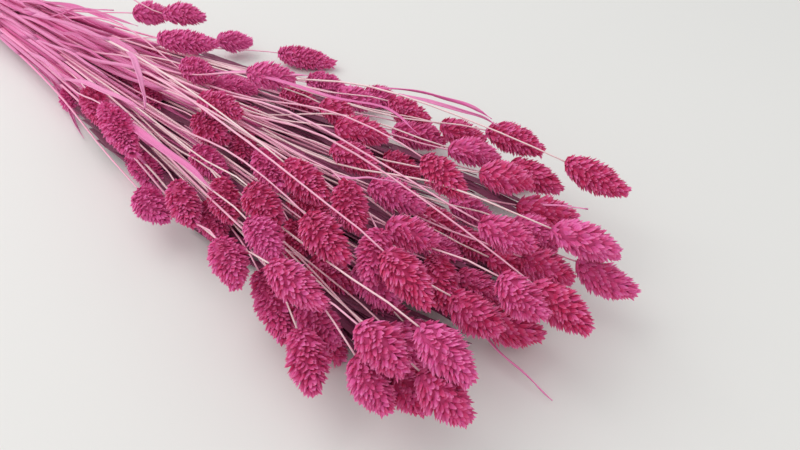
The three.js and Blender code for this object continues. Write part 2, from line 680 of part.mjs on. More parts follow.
const dyedGrass = new THREE.MeshStandardMaterial({ color: 0xb03070, roughness: 0.85, metalness: 0 });
const bandRubber = new THREE.MeshStandardMaterial({ color: 0xd9c9a8, roughness: 0.6, metalness: 0 });

const bunch = new THREE.Group();
bunch.add(meshOf(bandSolid(), "band", bandRubber));
for (let pair = 0; pair < culms.length / 2; pair += 1) {
  const members = [
    ...culms.filter(({ owner }) => owner === pair).map(culmSolid),
    ...leaves.filter(({ owner }) => owner === pair).map(leafSolid),
  ];
  const fused = members.reduce((sum, member) => sum.add(member));
  bunch.add(meshOf(fused, `culms_${String(pair + 1).padStart(2, "0")}`, dyedGrass));
}
const middle = new THREE.Box3().setFromObject(bunch).getCenter(new THREE.Vector3());
bunch.position.set(-middle.x, -middle.y, 0);

const part = new THREE.Group();
part.add(bunch);

export default part;
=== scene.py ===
import math

import bmesh
import bpy
import numpy as np
from mathutils import Matrix, Vector


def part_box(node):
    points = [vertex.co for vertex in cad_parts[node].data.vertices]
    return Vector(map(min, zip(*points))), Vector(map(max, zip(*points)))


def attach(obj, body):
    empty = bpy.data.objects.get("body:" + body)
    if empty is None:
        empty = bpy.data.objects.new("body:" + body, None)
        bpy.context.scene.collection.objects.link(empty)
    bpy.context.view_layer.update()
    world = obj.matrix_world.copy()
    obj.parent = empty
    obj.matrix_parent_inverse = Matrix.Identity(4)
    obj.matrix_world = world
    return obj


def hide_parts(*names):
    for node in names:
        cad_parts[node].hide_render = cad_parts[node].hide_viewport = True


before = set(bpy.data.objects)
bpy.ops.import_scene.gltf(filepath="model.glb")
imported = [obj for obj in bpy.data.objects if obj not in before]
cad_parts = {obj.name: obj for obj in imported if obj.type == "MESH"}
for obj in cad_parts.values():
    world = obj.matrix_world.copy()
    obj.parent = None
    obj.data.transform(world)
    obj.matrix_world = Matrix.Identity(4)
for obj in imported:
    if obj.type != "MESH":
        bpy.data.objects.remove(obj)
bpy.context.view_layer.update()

# A bunch of dyed canary grass, lying on a table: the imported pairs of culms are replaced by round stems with
# their sheaths, by heads of overlapping scales and by creased leaves, all laid out by the part's own rules.
mm = 0.001

# The part's driving dimensions, repeated
culm = {
    "buttLength": 105 * mm, "buttUneven": 8 * mm, "splayAcross": 1.4, "splayUp": 1.3,
    "columns": 12, "fullestColumn": 5, "roundedOut": 0.25,
    "columnPitch": 3.05 * mm, "pairPitch": 4.8 * mm, "twinPitch": 2.1 * mm,
    "buttRadius": 1.55 * mm, "neckRadius": 0.85 * mm, "step": 92 * mm, "leastSteps": 3, "own": 2,
    "start": 0.42, "end": 0.1,  # how long it keeps the bundle's direction, and the head's
    "underHeads": 14 * mm, "sinks": (60 * mm, 200 * mm), "lowest": 4 * mm, "overHeads": 2 * mm,
    "heightRanks": 0.5,
}
head = {
    "radius": 7.7 * mm, "shortest": 25 * mm, "longest": 48 * mm, "droop": 4.5 * mm,
    "cutAt": 0.16, "fullness": 0.8, "hiddenFrom": 380 * mm,
    "fence": ((0.12, 0.85), (0.42, 1.0), (0.88, 0.62)),  # where along the head, and how wide it is there
}
head["rests"] = 0.9 * head["radius"]
head["tipRests"] = 0.6 * head["rests"]
leaf = {
    "rootWidth": 1.3 * mm, "rootRadius": 0.9 * mm, "first": 0.3, "last": 0.92, "least": 1 * mm,
    "onTable": 2.5 * mm, "lowest": 3 * mm, "own": 1,
}
sheath = {
    "count": 20, "joints": 5, "root": (0.3, 0.9), "reach": (70 * mm, 130 * mm), "aside": 6 * mm,
    "lift": 9 * mm, "lifted": 0.6, "width": (3.4 * mm, 5.4 * mm), "twist": 0.8,
}
bandRing = {"across": 20.5 * mm, "up": 14 * mm, "thickness": 2 * mm, "width": 9 * mm, "flat": 0.5 * mm}
bundleHeight = bandRing["up"] + bandRing["thickness"] - bandRing["flat"]
bundleAside = 16 * mm
clearance = 0.4 * mm
aboveTable = 0.3 * mm
heap = {
    "start": 17 * mm, "middle": 48 * mm, "end": 34 * mm, "riseTo": 300 * mm, "fallFrom": 420 * mm,
    "fallTo": 640 * mm, "nearHalf": 112 * mm, "farHalf": 175 * mm, "halfAt": 560 * mm, "halfPower": 1.3,
    "layer": 14 * mm, "layers": 2, "trustInWidth": 0.5, "passes": 20,
}
standpoint = {
    "place": np.array((632, -172, 230)) * mm, "turn": math.radians(38), "dip": math.radians(43),
    "middle": (400, 225), "distance": 600,
}
parting = {"passes": 240, "share": 0.5, "longest": 3 * mm, "reach": 2 * head["longest"]}
settling = {"share": 0.7, "longest": 3 * mm, "leastWeight": 0.15, "tooNearHeld": 0.002, "stiffUntil": 0.8}
settleCulms = {"passes": 280, "stiffness": 0.25}
settleLeaves = {"passes": 200, "stiffness": 0.1}
nearlyParallel = 1e-9

# Heads as seen from the standpoint: where the culm enters, the tip, how wide the head looks, how high it
# lies in the heap from 0 to 2, how much of its culm passes over other heads, and for two the height
seenHeads = (
    ((133, 13), (165, 15), 15, 1, 150 * mm, 46 * mm),
    ((163, 14), (205, 18), 19, 2, 150 * mm, 46 * mm),
    ((158, 38), (219, 44), 22, 2, 0),
    ((140, 53), (172, 66), 19, 0, 0),
    ((181, 64), (213, 76), 23, 2, 45 * mm),
    ((113, 62), (137, 80), 18, 1, 0),
    ((140, 71), (157, 106), 20, 1, 0),
    ((172, 84), (206, 96), 20, 0, 0),
    ((210, 85), (257, 89), 20, 2, 110 * mm),
    ((199, 99), (241, 114), 26, 2, 70 * mm),
    ((196, 118), (227, 141), 26, 1, 0),
    ((88, 92), (104, 125), 24, 1, 0),
    ((105, 108), (135, 158), 31, 2, 0),
    ((217, 40), (252, 42), 21, 2, 0),
    ((247, 73), (295, 78), 29, 2, 0),
    ((279, 53), (335, 64), 20, 2, 0),
    ((281, 93), (318, 108), 20, 1, 0),
    ((321, 103), (336, 113), 30, 1, 0),
    ((335, 127), (388, 138), 28, 2, 0),
    ((308, 79), (347, 92), 18, 0, 0),
    ((337, 93), (378, 104), 19, 1, 0),
    ((365, 92), (398, 103), 16, 0, 0),
    ((390, 101), (428, 120), 22, 2, 0),
    ((400, 122), (433, 132), 17, 1, 0),
    ((393, 130), (445, 143), 16, 1, 0),
    ((424, 158), (465, 196), 37, 2, 110 * mm),
    ((332, 148), (378, 172), 28, 1, 0),
    ((385, 155), (418, 176), 26, 0, 0),
    ((441, 124), (485, 140), 24, 2, 0),
    ((449, 148), (499, 160), 28, 2, 100 * mm),
    ((487, 130), (543, 152), 28, 2, 0),
    ((566, 162), (627, 193), 33, 2, 200 * mm),
    ((480, 172), (531, 184), 35, 2, 0),
    ((511, 163), (561, 190), 30, 1, 0),
    ((450, 200), (477, 212), 24, 0, 0),
    ((370, 185), (423, 210), 32, 1, 0),
    ((345, 183), (360, 230), 36, 2, 0),
    ((236, 112), (264, 124), 22, 0, 0),
    ((238, 130), (245, 157), 24, 1, 0),
    ((195, 150), (225, 178), 26, 1, 0),
    ((260, 152), (285, 190), 28, 1, 0),
    ((285, 163), (325, 200), 36, 2, 250 * mm),
    ((220, 181), (231, 220), 28, 2, 0),
    ((250, 187), (277, 219), 36, 2, 0),
    ((290, 197), (325, 216), 26, 1, 0),
    ((243, 146), (262, 170), 22, 0, 0),
    ((66, 92), (80, 108), 14, 0, 0),
    ((131, 152), (168, 190), 20, 0, 0),
    ((140, 191), (160, 213), 32, 1, 0),
    ((176, 183), (193, 224), 32, 1, 0),
    ((380, 231), (369, 283), 36, 1.6, 0),
    ((219, 241), (238, 286), 36, 2, 0),
    ((249, 221), (278, 262), 38, 2, 0),
    ((271, 264), (323, 306), 44, 2, 0),
    ((260, 273), (286, 341), 33, 1, 0),
    ((300, 306), (332, 343), 35, 1, 0),
    ((298, 330), (313, 393), 37, 2, 40 * mm),
    ((307, 216), (346, 261), 38, 2, 60 * mm),
    ((358, 265), (393, 306), 34, 1, 0),
    ((386, 224), (439, 242), 35, 2, 210 * mm),
    ((386, 253), (429, 306), 38, 2, 230 * mm),
    ((434, 256), (448, 311), 32, 1, 0),
    ((421, 328), (471, 380), 42, 2, 110 * mm),
    ((360, 326), (398, 366), 44, 2, 0),
    ((366, 300), (399, 319), 24, 0, 0),
    ((312, 320), (338, 356), 26, 0, 0),
    ((357, 358), (387, 409), 38, 1, 60 * mm),
    ((393, 362), (418, 400), 30, 0, 0),
    ((423, 374), (460, 412), 36, 1, 0),
    ((387, 328), (415, 362), 32, 0, 0),
    ((452, 296), (497, 328), 36, 2, 0),
    ((478, 316), (543, 335), 30, 1, 0),
    ((517, 205), (577, 218), 31, 2, 0),
    ((480, 222), (535, 247), 37, 2, 140 * mm),
    ((512, 222), (556, 247), 32, 1, 0),
    ((552, 229), (619, 255), 36, 2, 110 * mm),
    ((577, 261), (637, 293), 32, 2, 0),
    ((500, 276), (545, 316), 38, 2, 0),
    ((533, 284), (590, 331), 36, 2, 140 * mm),
    ((490, 258), (530, 273), 28, 1, 0),
    ((522, 257), (565, 276), 34, 1, 0),
    ((458, 274), (500, 300), 30, 0, 0),
    ((453, 231), (490, 260), 30, 0, 0),
    ((310, 262), (357, 293), 30, 1, 0),
    ((291, 223), (298, 262), 24, 1, 0),
    ((205, 206), (221, 240), 28, 1, 0),
    ((416, 214), (446, 228), 22, 1, 0),
    ((420, 240), (447, 256), 22, 1, 0),
    ((404, 322), (424, 348), 24, 0, 0),
)

# Loose leaves as seen from the standpoint: bends from the root to the tip, width, twist, height over the heap
seenLeaves = (
    (((362, 83), (398, 88), (440, 99), (478, 112), (492, 119)), 3.2 * mm, 2.2, 12 * mm),
    (((392, 95), (425, 102), (455, 109), (482, 117), (499, 126)), 3 * mm, -2, 9 * mm),
    (((268, 72), (300, 82), (340, 97), (390, 108), (419, 134)), 4 * mm, 0.4, 10 * mm),
    (((205, 50), (232, 55), (262, 62), (290, 70), (309, 75)), 5 * mm, 0.2, 9 * mm),
    (((110, 52), (125, 60), (134, 76), (141, 94), (145, 108)), 5 * mm, 1.2, 12 * mm),
    (((60, 48), (85, 62), (110, 80), (130, 96), (144, 109)), 6 * mm, 0.3, 8 * mm),
    (((100, 95), (135, 122), (165, 146), (192, 168), (213, 190)), 6 * mm, 0.2, 10 * mm),
    (((330, 160), (350, 168), (368, 172), (382, 177), (396, 183)), 3 * mm, 0.8, 9 * mm),
    (((455, 314), (476, 332), (503, 359), (527, 378), (552, 401)), 2.6 * mm, 1.4, None),
    (((512, 184), (535, 190), (555, 197), (572, 203), (588, 210)), 2.2 * mm, 0.5, 8 * mm),
    (((48, 78), (60, 92), (68, 106), (74, 122), (84, 138)), 4.5 * mm, 1, None),
)

drawState = 5


def draw(low, high):  # the part's repeatable draw
    global drawState
    drawState = drawState * 16807 % 2147483647
    return low + (high - low) * drawState / 2147483647


def lerp(a, b, share):
    return a + (b - a) * share


def smoothStep(value, low, high):
    share = np.clip((value - low) / (high - low), 0, 1)
    return share * share * (3 - 2 * share)


def dot(a, b):
    return np.einsum("...i,...i->...", a, b)


def sightLine(point):
    turn, dip, far = standpoint["turn"], standpoint["dip"], standpoint["distance"]
    right, down = (np.array(point, float) - standpoint["middle"]).T
    level = far * math.cos(dip) - down * math.sin(dip)
    return np.array((
        right * math.cos(turn) - level * math.sin(turn),
        right * math.sin(turn) + level * math.cos(turn),
        -far * math.sin(dip) - down * math.cos(dip),
    )).T


def setDown(point, height):
    line = sightLine(point)
    return standpoint["place"] + line * (height - standpoint["place"][2]) / line[2]


def heapTop(x, y):
    rise = smoothStep(x, 0, heap["riseTo"]) * (heap["middle"] - heap["start"])
    fall = smoothStep(x, heap["fallFrom"], heap["fallTo"]) * (heap["middle"] - heap["end"])
    spread = (max(x, 0) / heap["halfAt"]) ** heap["halfPower"]
    aside = y - bundleAside * (1 - smoothStep(x, 0, heap["riseTo"]))
    half = lerp(bandRing["across"], heap["farHalf"] if aside > 0 else heap["nearHalf"], spread)
    across = math.sqrt(max(0, 1 - (aside / half) ** 2))
    return head["rests"] + (heap["start"] + rise - fall - head["rests"]) * across


def setOnHeap(point, depth, lowest):
    height = heap["middle"]
    for _ in range(heap["passes"]):
        x, y, _ = setDown(point, height)
        height = (height + max(lowest, heapTop(x, y) - depth)) / 2
    return setDown(point, height)


def layHead(neck, tip, wide, lies, bare, height=None):
    if height is None:
        piled = setOnHeap(neck, (heap["layers"] - lies) * heap["layer"], head["rests"])[2]
        judged = standpoint["place"][2] + sightLine(neck)[2] * 2 * head["radius"] / wide
        height = lerp(piled, min(max(judged, head["rests"]), piled + heap["layer"]), heap["trustInWidth"])
    base = setDown(neck, height)
    axis = setDown(tip, max(base[2] - head["droop"], head["tipRests"])) - base
    length = np.linalg.norm(axis)
    end = base + axis * min(max(length, head["shortest"]), head["longest"]) / length
    sight = (base + end) / 2 - standpoint["place"]
    sight /= np.linalg.norm(sight)
    return {"base": base, "end": end, "sight": sight, "seen": (neck, tip, wide), "lies": lies, "bare": bare}


def nearest(p, q, r, s):  # shares of the stretches p to q and r to s at which they come nearest
    first, second, gap = q - p, s - r, p - r
    a, b, e = dot(first, first), dot(first, second), dot(second, second)
    c, f = dot(first, gap), dot(second, gap)
    spread = a * e - b * b
    crossing = spread > nearlyParallel * a * e
    guess = np.where(crossing, np.clip((b * f - c * e) / np.where(crossing, spread, 1), 0, 1), 0.5)
    share = np.clip((b * guess + f) / e, 0, 1)
    return np.clip((b * share - c) / a, 0, 1), share


def partHeads(heads):  # heads part along their sight lines, the nearer one towards the eye
    bases, ends, sights = (np.array([one[key] for one in heads]) for key in ("base", "end", "sight"))
    shares, girths = np.array(head["fence"]).T
    i, j = np.triu_indices(len(heads), 1)
    for _ in range(parting["passes"]):
        knots = bases[:, None] + (ends - bases)[:, None] * shares[:, None]
        lack, apart = np.zeros(len(i)), np.zeros((len(i), 3))
        for m, n in ((0, 0), (0, 1), (1, 0), (1, 1)):
            p, q, r, s = knots[i, m], knots[i, m + 1], knots[j, n], knots[j, n + 1]
            u, v = nearest(p, q, r, s)
            way = lerp(p, q, u[:, None]) - lerp(r, s, v[:, None])
            radii = head["radius"] * (lerp(girths[m], girths[m + 1], u) + lerp(girths[n], girths[n + 1], v))
            here = radii + clearance - np.linalg.norm(way, axis=1)
            deeper = here > lack
            lack[deeper], apart[deeper] = here[deeper], way[deeper]
        lack[np.linalg.norm(bases[i] - bases[j], axis=1) > parting["reach"]] = 0
        further = np.where(dot(apart, sights[i]) < 0, -1, 1) * lack * parting["share"]
        moves = np.bincount(i, further, len(heads)) - np.bincount(j, further, len(heads))
        step = sights * np.clip(moves, -parting["longest"], parting["longest"])[:, None]
        sink = np.maximum(head["rests"] - bases[:, 2], head["tipRests"] - ends[:, 2]) - step[:, 2]
        step += sights * (np.maximum(sink, 0) / sights[:, 2])[:, None]
        bases += step
        ends += step
    for one, base, end in zip(heads, bases, ends):
        one["base"], one["end"] = base, end


def bandPlaces():  # the culms stand in the band in columns, the fullest in its middle
    columns = []
    outermost = culm["columns"] / 2 + culm["roundedOut"]
    for column in range(culm["columns"]):
        aside = column - (culm["columns"] - 1) / 2
        pairs = int(culm["fullestColumn"] * math.sqrt(1 - (aside / outermost) ** 2) + 0.5)
        columns.append([])
        for place in range(2 * pairs):
            up = (place // 2 - (pairs - 1) / 2) * culm["pairPitch"] + (place % 2 - 0.5) * culm["twinPitch"]
            columns[-1].append((aside * culm["columnPitch"], up))
    return columns


def culmPath(across, up, top):
    start = np.array((0, bundleAside + across, bundleHeight + up))
    base, aim = top["base"], top["end"] - top["base"]
    length = np.linalg.norm(base - start)
    leave = start + (length * culm["start"], 0, 0)
    meet = base - aim / np.linalg.norm(aim) * length * culm["end"]
    steps = max(culm["leastSteps"], int(length / culm["step"] + 0.5))
    t = np.linspace(0, 1, steps + 1)[:, None]
    bends = (1 - t) ** 3 * start + 3 * (1 - t) ** 2 * t * leave + 3 * (1 - t) * t ** 2 * meet + t ** 3 * base
    for i in range(1, steps):
        surface = heapTop(*bends[i][:2])
        if np.linalg.norm(bends[i] - base) < top["bare"]:
            lack = surface + head["radius"] + culm["overHeads"] - bends[i][2]
            bends[i][2] += max(lack, 0) * math.sqrt(math.sin(math.pi * i / steps))
        else:
            over = max(bends[i][2] - culm["lowest"], 0) * min(culm["underHeads"] / surface, 1)
            bends[i][2] -= over * smoothStep(bends[i][0], *culm["sinks"])
    cut = (draw(0, culm["buttUneven"]) - culm["buttLength"], bundleAside + across * culm["splayAcross"],
           bundleHeight + up * culm["splayUp"])
    return np.vstack((cut, bends))


def strand(owner, own, points, radii, **more):  # its own first points are held, and grown in with its pair
    rests = np.zeros_like(points)
    rests[1:-1] = (points[:-2] + points[2:]) / 2 - points[1:-1]
    held = np.arange(len(points)) < own
    return {"owner": owner, "own": own, "points": points, "radii": radii, "held": held, "rests": rests} | more


def settle(strands, passes, stiffness):  # strands keep their distance, and bend as little as they can
    places = np.vstack([one["points"] for one in strands])
    radii, held, rests = (np.concatenate([one[key] for one in strands]) for key in ("radii", "held", "rests"))
    counts = [len(one["points"]) for one in strands]
    firsts = np.cumsum([0] + counts[:-1])
    begin = np.concatenate([first + np.arange(count - 1) for first, count in zip(firsts, counts)])
    stretchOf = np.repeat(np.arange(len(strands)), [count - 1 for count in counts])
    k = begin - firsts[stretchOf]
    owner, own = (np.array([one[key] for one in strands])[stretchOf] for key in ("owner", "own"))
    fixed = held[begin] & held[begin + 1]
    girth = np.maximum(radii[begin], radii[begin + 1])
    sameStrand = stretchOf[:, None] == stretchOf
    grownIn = k < own
    grownTogether = (owner[:, None] == owner) & (grownIn[:, None] | grownIn)
    mayTouch = np.triu(~(sameStrand | (fixed[:, None] & fixed) | grownTogether), 1)
    inner = ~held.copy()
    inner[firsts] = False
    inner[firsts + np.array(counts) - 1] = False
    inner = np.flatnonzero(inner)
    free = (~held).astype(float)
    for step in range(passes):
        stiff = stiffness * max(0, 1 - step / (passes * settling["stiffUntil"]))
        p, q = places[begin], places[begin + 1]
        middle, half = (p + q) / 2, np.linalg.norm(q - p, axis=1) / 2 + girth
        level = dot(middle, middle)
        apartSquared = level[:, None] + level - 2 * middle @ middle.T
        a, b = np.nonzero(mayTouch & (apartSquared <= (half[:, None] + half + clearance) ** 2))
        u, v = nearest(p[a], q[a], p[b], q[b])
        apart = lerp(p[a], q[a], u[:, None]) - lerp(p[b], q[b], v[:, None])
        gap = np.linalg.norm(apart, axis=1)
        need = lerp(radii[begin[a]], radii[begin[a] + 1], u) + lerp(radii[begin[b]], radii[begin[b] + 1], v)
        lack = clearance + need - gap
        tight = lack > 0
        a, b, u, v, lack = a[tight], b[tight], u[tight], v[tight], lack[tight]
        apart = apart[tight] / gap[tight, None]
        push = lack * np.where(fixed[a] | fixed[b], 1, 0.5) * settling["share"]
        moves = np.zeros_like(places)
        for which, along, sign in ((a, u, 1), (b, v, -1)):
            near, ahead = (1 - along) * free[begin[which]], along * free[begin[which] + 1]
            total = near ** 2 + ahead ** 2
            weight = np.maximum(total, settling["leastWeight"])
            size = sign * push / weight * (total >= settling["tooNearHeld"])
            np.add.at(moves, begin[which], apart * (size * near)[:, None])
            np.add.at(moves, begin[which] + 1, apart * (size * ahead)[:, None])
        length = np.linalg.norm(moves, axis=1)
        moves *= (np.minimum(1, settling["longest"] / np.where(length > 0, length, 1)))[:, None]
        moves[inner] += stiff * ((places[inner - 1] + places[inner + 1]) / 2 - places[inner] - rests[inner])
        places += moves * free[:, None]
        places[:, 2] = np.where(held, places[:, 2], np.maximum(places[:, 2], radii + aboveTable))
        for one, first in zip(strands, firsts):
            if "root" in one:
                at = one["root"]["first"] + one["root"]["k"]
                places[first] = lerp(places[at], places[at + 1], one["root"]["share"])
    for one, first, count in zip(strands, firsts, counts):
        one["points"] = places[first:first + count].copy()


# The heads, seen and hidden, and the culms dealt to them
heads = [layHead(*seen) for seen in seenHeads]
columns = bandPlaces()
culmCount = sum(len(column) for column in columns)
highest = [one for one in heads if one["base"][0] > head["hiddenFrom"]]
highest.sort(key=lambda one: -one["base"][2])
heads += [layHead(*one["seen"], 0, 0, head["rests"]) for one in highest[:culmCount - len(heads)]]
partHeads(heads)
heads.sort(key=lambda one: (one["base"][1] - bundleAside) / one["base"][0])
culms = []


def rank(one):  # from the bottom of the heap up; the far uppermost heads' culms run under the nearer ones
    height = culm["heightRanks"] * one["base"][2]
    return one["lies"] + (1 - one["lies"]) * one["base"][0] + height + one["bare"]


for column in columns:
    dealt = sorted(heads[:len(column)], key=rank)
    del heads[:len(column)]
    for (across, up), top in zip(column, dealt):
        path = culmPath(across, up, top)
        radii = lerp(culm["buttRadius"], culm["neckRadius"], np.clip(path[:, 0] / top["base"][0], 0, 1))
        culms.append(strand(len(culms) // 2, culm["own"], path, radii, head=top))
        culms[-1]["held"][-1] = True


def fence(owner, top):  # a head as a strand that is held all along, which keeps the others off it
    points = np.array([lerp(top["base"], top["end"], share) for share, _ in head["fence"]])
    radii = np.array([girth * head["radius"] for _, girth in head["fence"]])
    return strand(owner, len(points), points, radii)


fences = [fence(one["owner"], one["head"]) for one in culms]
settle(culms + fences, **settleCulms)
culmFirsts = np.cumsum([0] + [len(one["points"]) for one in culms])
print("culms have room")


def nearestCulm(place):
    best = (math.inf,)
    for index, one in enumerate(culms):
        p, q = one["points"][1:-1], one["points"][2:]
        share = np.clip(dot(place - p, q - p) / dot(q - p, q - p), 0, 1)
        apart = np.linalg.norm(lerp(p, q, share[:, None]) - place, axis=1)
        k = int(np.argmin(apart))
        if apart[k] < best[0]:
            best = (apart[k], {"index": index, "first": culmFirsts[index], "k": k + 1, "share": share[k]})
    return best[1]


def leafStrand(root, points, width, twist):
    along = np.linspace(leaf["first"], leaf["last"], len(points))
    widths = np.maximum(leaf["least"], width * np.sin(math.pi * along))
    radii = np.maximum(widths / 2, leaf["least"])
    radii[0] = leaf["rootRadius"]
    widths[0] = leaf["rootWidth"]
    owner = culms[root["index"]]["owner"]
    return strand(owner, leaf["own"], points, radii, root=root, widths=widths, twist=twist)


def seenLeaf(path, width, twist, over):
    if over is None:
        points = np.array([setDown(point, leaf["onTable"]) for point in path])
    else:
        points = np.array([setOnHeap(point, -over, leaf["lowest"]) for point in path])
    return leafStrand(nearestCulm(points[0]), points, width, twist)


def sheathLeaf(count):  # it rises from the uppermost culm of its column
    column = count % len(columns)
    index = sum(len(each) for each in columns[:column + 1]) - 1
    k = 1 + count // len(columns)
    root = {"index": index, "first": culmFirsts[index], "k": k, "share": draw(*sheath["root"])}
    back, ahead = culms[index]["points"][k:k + 2]
    along = (ahead - back) / np.linalg.norm(ahead - back)
    reach, aside = draw(*sheath["reach"]), draw(-sheath["aside"], sheath["aside"])
    share = np.linspace(0, 1, sheath["joints"])[:, None]
    lift = sheath["lift"] * smoothStep(share, 0, sheath["lifted"])
    points = lerp(back, ahead, root["share"]) + along * reach * share
    points += (0, 1, 0) * share * aside
    points += (0, 0, 1) * lift
    return leafStrand(root, points, draw(*sheath["width"]), draw(-sheath["twist"], sheath["twist"]))


leaves = [seenLeaf(*seen) for seen in seenLeaves]
leaves += [sheathLeaf(count) for count in range(sheath["count"])]
settle(culms + fences + leaves, **settleLeaves)
print("leaves have room")

# Camera, floor and light
camera = {"sensor": 36, "photoWidth": 800, "near": 10 * mm, "far": 10}
floor = {
    "everywhere": {"Roughness": 0.6}, "size": 6, "below": 0.05 * mm,
    "colour": (231, 231, 229), "lighter": 2, "grain": 3, "grainDetail": 2,
}
lamps = {
    "window": {"place": (-1.1, -0.15, 1.4), "size": 1.6, "power": 13.6, "colour": (255, 252, 250)},
    "fill": {"place": (0.9, -0.9, 1.3), "size": 2.4, "power": 7.2, "colour": (255, 251, 248)},
}
sky = {"colour": (246, 247, 247), "strength": 0.715}

# The layout's origin lies on the table, level with the band's middle and a little beside it
bandLow, bandHigh = (np.array(corner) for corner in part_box("band"))
layoutOrigin = (bandLow + bandHigh) / 2 * (1, 1, 0) - (0, bundleAside, 0)


def dye(red, green, blue):  # a colour as the eye names it, in the linear values that nodes take
    return tuple(((value / 255 + 0.055) / 1.055) ** 2.4 for value in (red, green, blue))


def linked(name, data):
    thing = bpy.data.objects.new(name, data)
    bpy.context.collection.objects.link(thing)
    return thing


def aim(thing, place, way):
    thing.location = place
    thing.rotation_euler = Vector(way).to_track_quat("-Z", "Y").to_euler()


lens = bpy.data.cameras.new("photoCamera")
lens.sensor_width = camera["sensor"]
lens.lens = camera["sensor"] * standpoint["distance"] / camera["photoWidth"]
lens.clip_start, lens.clip_end = camera["near"], camera["far"]
eye = linked("photoCamera", lens)
aim(eye, standpoint["place"] + layoutOrigin, sightLine(standpoint["middle"]))
bpy.context.scene.camera = eye
for name, lamp in lamps.items():
    light = bpy.data.lights.new(name, "AREA")
    light.size, light.energy, light.color = lamp["size"], lamp["power"], dye(*lamp["colour"])
    aim(linked(name, light), lamp["place"], -Vector(lamp["place"]))
world = bpy.data.worlds.new("studio")
world.use_nodes = True
background = world.node_tree.nodes["Background"].inputs
background["Color"].default_value = (*dye(*sky["colour"]), 1)
background["Strength"].default_value = sky["strength"]
bpy.context.scene.world = world
bpy.context.scene.view_settings.view_transform = "Standard"
print("camera and light stand")

# the tone is a random dye tone on the heads with painted light on it, and painted shade on the litter leaves
carried = ("along", "across", "shade", "tone")  # what a mesh carries for its finish


class Flow:  # a node's output, on which sums and products add Math nodes
    def __init__(self, finish, socket):
        self.finish, self.socket = finish, socket

    def math(self, operation, first, second):
        return self.finish.node("ShaderNodeMath", {"operation": operation}, {0: first, 1: second})

    def __add__(self, other):
        return self.math("ADD", self, other)

    def __radd__(self, other):
        return self.math("ADD", other, self)

    def __sub__(self, other):
        return self.math("SUBTRACT", self, other)

    def __rsub__(self, other):
        return self.math("SUBTRACT", other, self)

    def __mul__(self, other):
        return self.math("MULTIPLY", self, other)

    def __rmul__(self, other):
        return self.math("MULTIPLY", other, self)


class Finish:  # a material whose nodes are written as expressions
    def __init__(self, name, look):
        self.look = look
        self.material = bpy.data.materials.new(name)
        self.material.use_nodes = True
        self.tree = self.material.node_tree
        self.shader = self.tree.nodes["Principled BSDF"]
        self.feed(self.shader, look["everywhere"])

    def feed(self, node, values):
        for key, value in values.items():
            if isinstance(value, Flow):
                self.tree.links.new(value.socket, node.inputs[key])
            elif node.inputs[key].type == "RGBA":
                node.inputs[key].default_value = (*dye(*value), 1)
            else:
                node.inputs[key].default_value = value

    def node(self, kind, settings=None, values=None, output=0):
        node = self.tree.nodes.new(kind)
        for key, value in (settings or {}).items():
            setattr(node, key, value)
        self.feed(node, values or {})
        return Flow(self, node.outputs[output])

    def blend(self, share, first, second):
        settings = {"data_type": "RGBA", "blend_type": "MIX", "clamp_factor": True}
        return self.node("ShaderNodeMix", settings, {0: share, 6: first, 7: second}, 2)

    def carried(self, name):
        return self.node("ShaderNodeAttribute", {"attribute_name": name}, output="Fac")

    def spot(self):  # the place on the piece
        return self.node("ShaderNodeTexCoord", output="Object")

    def noise(self, scale, detail, stretch=(1, 1, 1)):
        place = self.node("ShaderNodeMapping", values={"Vector": self.spot(), "Scale": stretch})
        values = {"Vector": place, "Scale": scale, "Detail": detail}
        return self.node("ShaderNodeTexNoise", values=values, output="Fac")

    def between(self, flow, low, high):  # 0 below low, 1 above high, smooth between
        settings = {"interpolation_type": "SMOOTHSTEP"}
        return self.node("ShaderNodeMapRange", settings, {"Value": flow, "From Min": low, "From Max": high})

    def coat(self, colourSoFar, mask, colour, shows, where=None):  # one more colour, that shows where the mask is high; it is a dye, except the keel's painted highlight and the litter's painted shade
        mask = self.between(mask, *where) if where else mask
        return self.blend(mask * shows, colourSoFar, colour)

    def finished(self, colourSoFar, pattern, relief):  # the pattern makes it rougher, the relief uneven
        values = {"Strength": self.look["relief"], "Distance": self.look["depth"], "Height": relief}
        self.feed(self.shader, {
            "Base Color": colourSoFar, "Roughness": pattern * self.look["rougher"] + self.look["rough"],
            "Normal": self.node("ShaderNodeBump", values=values, output="Normal"),
        })
        return self.material


# Scales of a head: dark at the root, magenta on the blade, pale at the tip, with a painted highlight along
# the keel, and no two of one shade; heads at the bunch's edges and towards the band get painted light,
# lighter and more violet. Here and below, "where" is the stretch over which a colour comes in.
scaleLook = {
    "everywhere": {"Sheen Weight": 0.3, "Sheen Roughness": 0.45, "Sheen Tint": (255, 175, 230)},
    "crimson": (212, 38, 100), "violet": (238, 104, 180), "violetWhere": (0.15, 0.85),
    "byTone": 0.6, "byShade": 0.4,
    "vein": {"colour": (190, 40, 112), "shows": 0.4, "where": (0.45, 0.75)},
    "root": {"colour": (156, 22, 84), "shows": 0.55}, "rootEnds": (0.1, 0.5),
    # painted highlight: the keel of each scale is painted pale
    "keelHighlight": {"colour": (236, 124, 182), "shows": 0.25, "where": (0.3, 1.0)},
    "tip": {"colour": (250, 152, 202), "where": (0.6, 1.05)}, "tipShows": 0.3, "tipByShade": 0.5,
    "fibre": 1400, "fibreDetail": 3, "rough": 0.55, "rougher": 0.3, "relief": 0.35, "depth": 0.3 * mm,
}


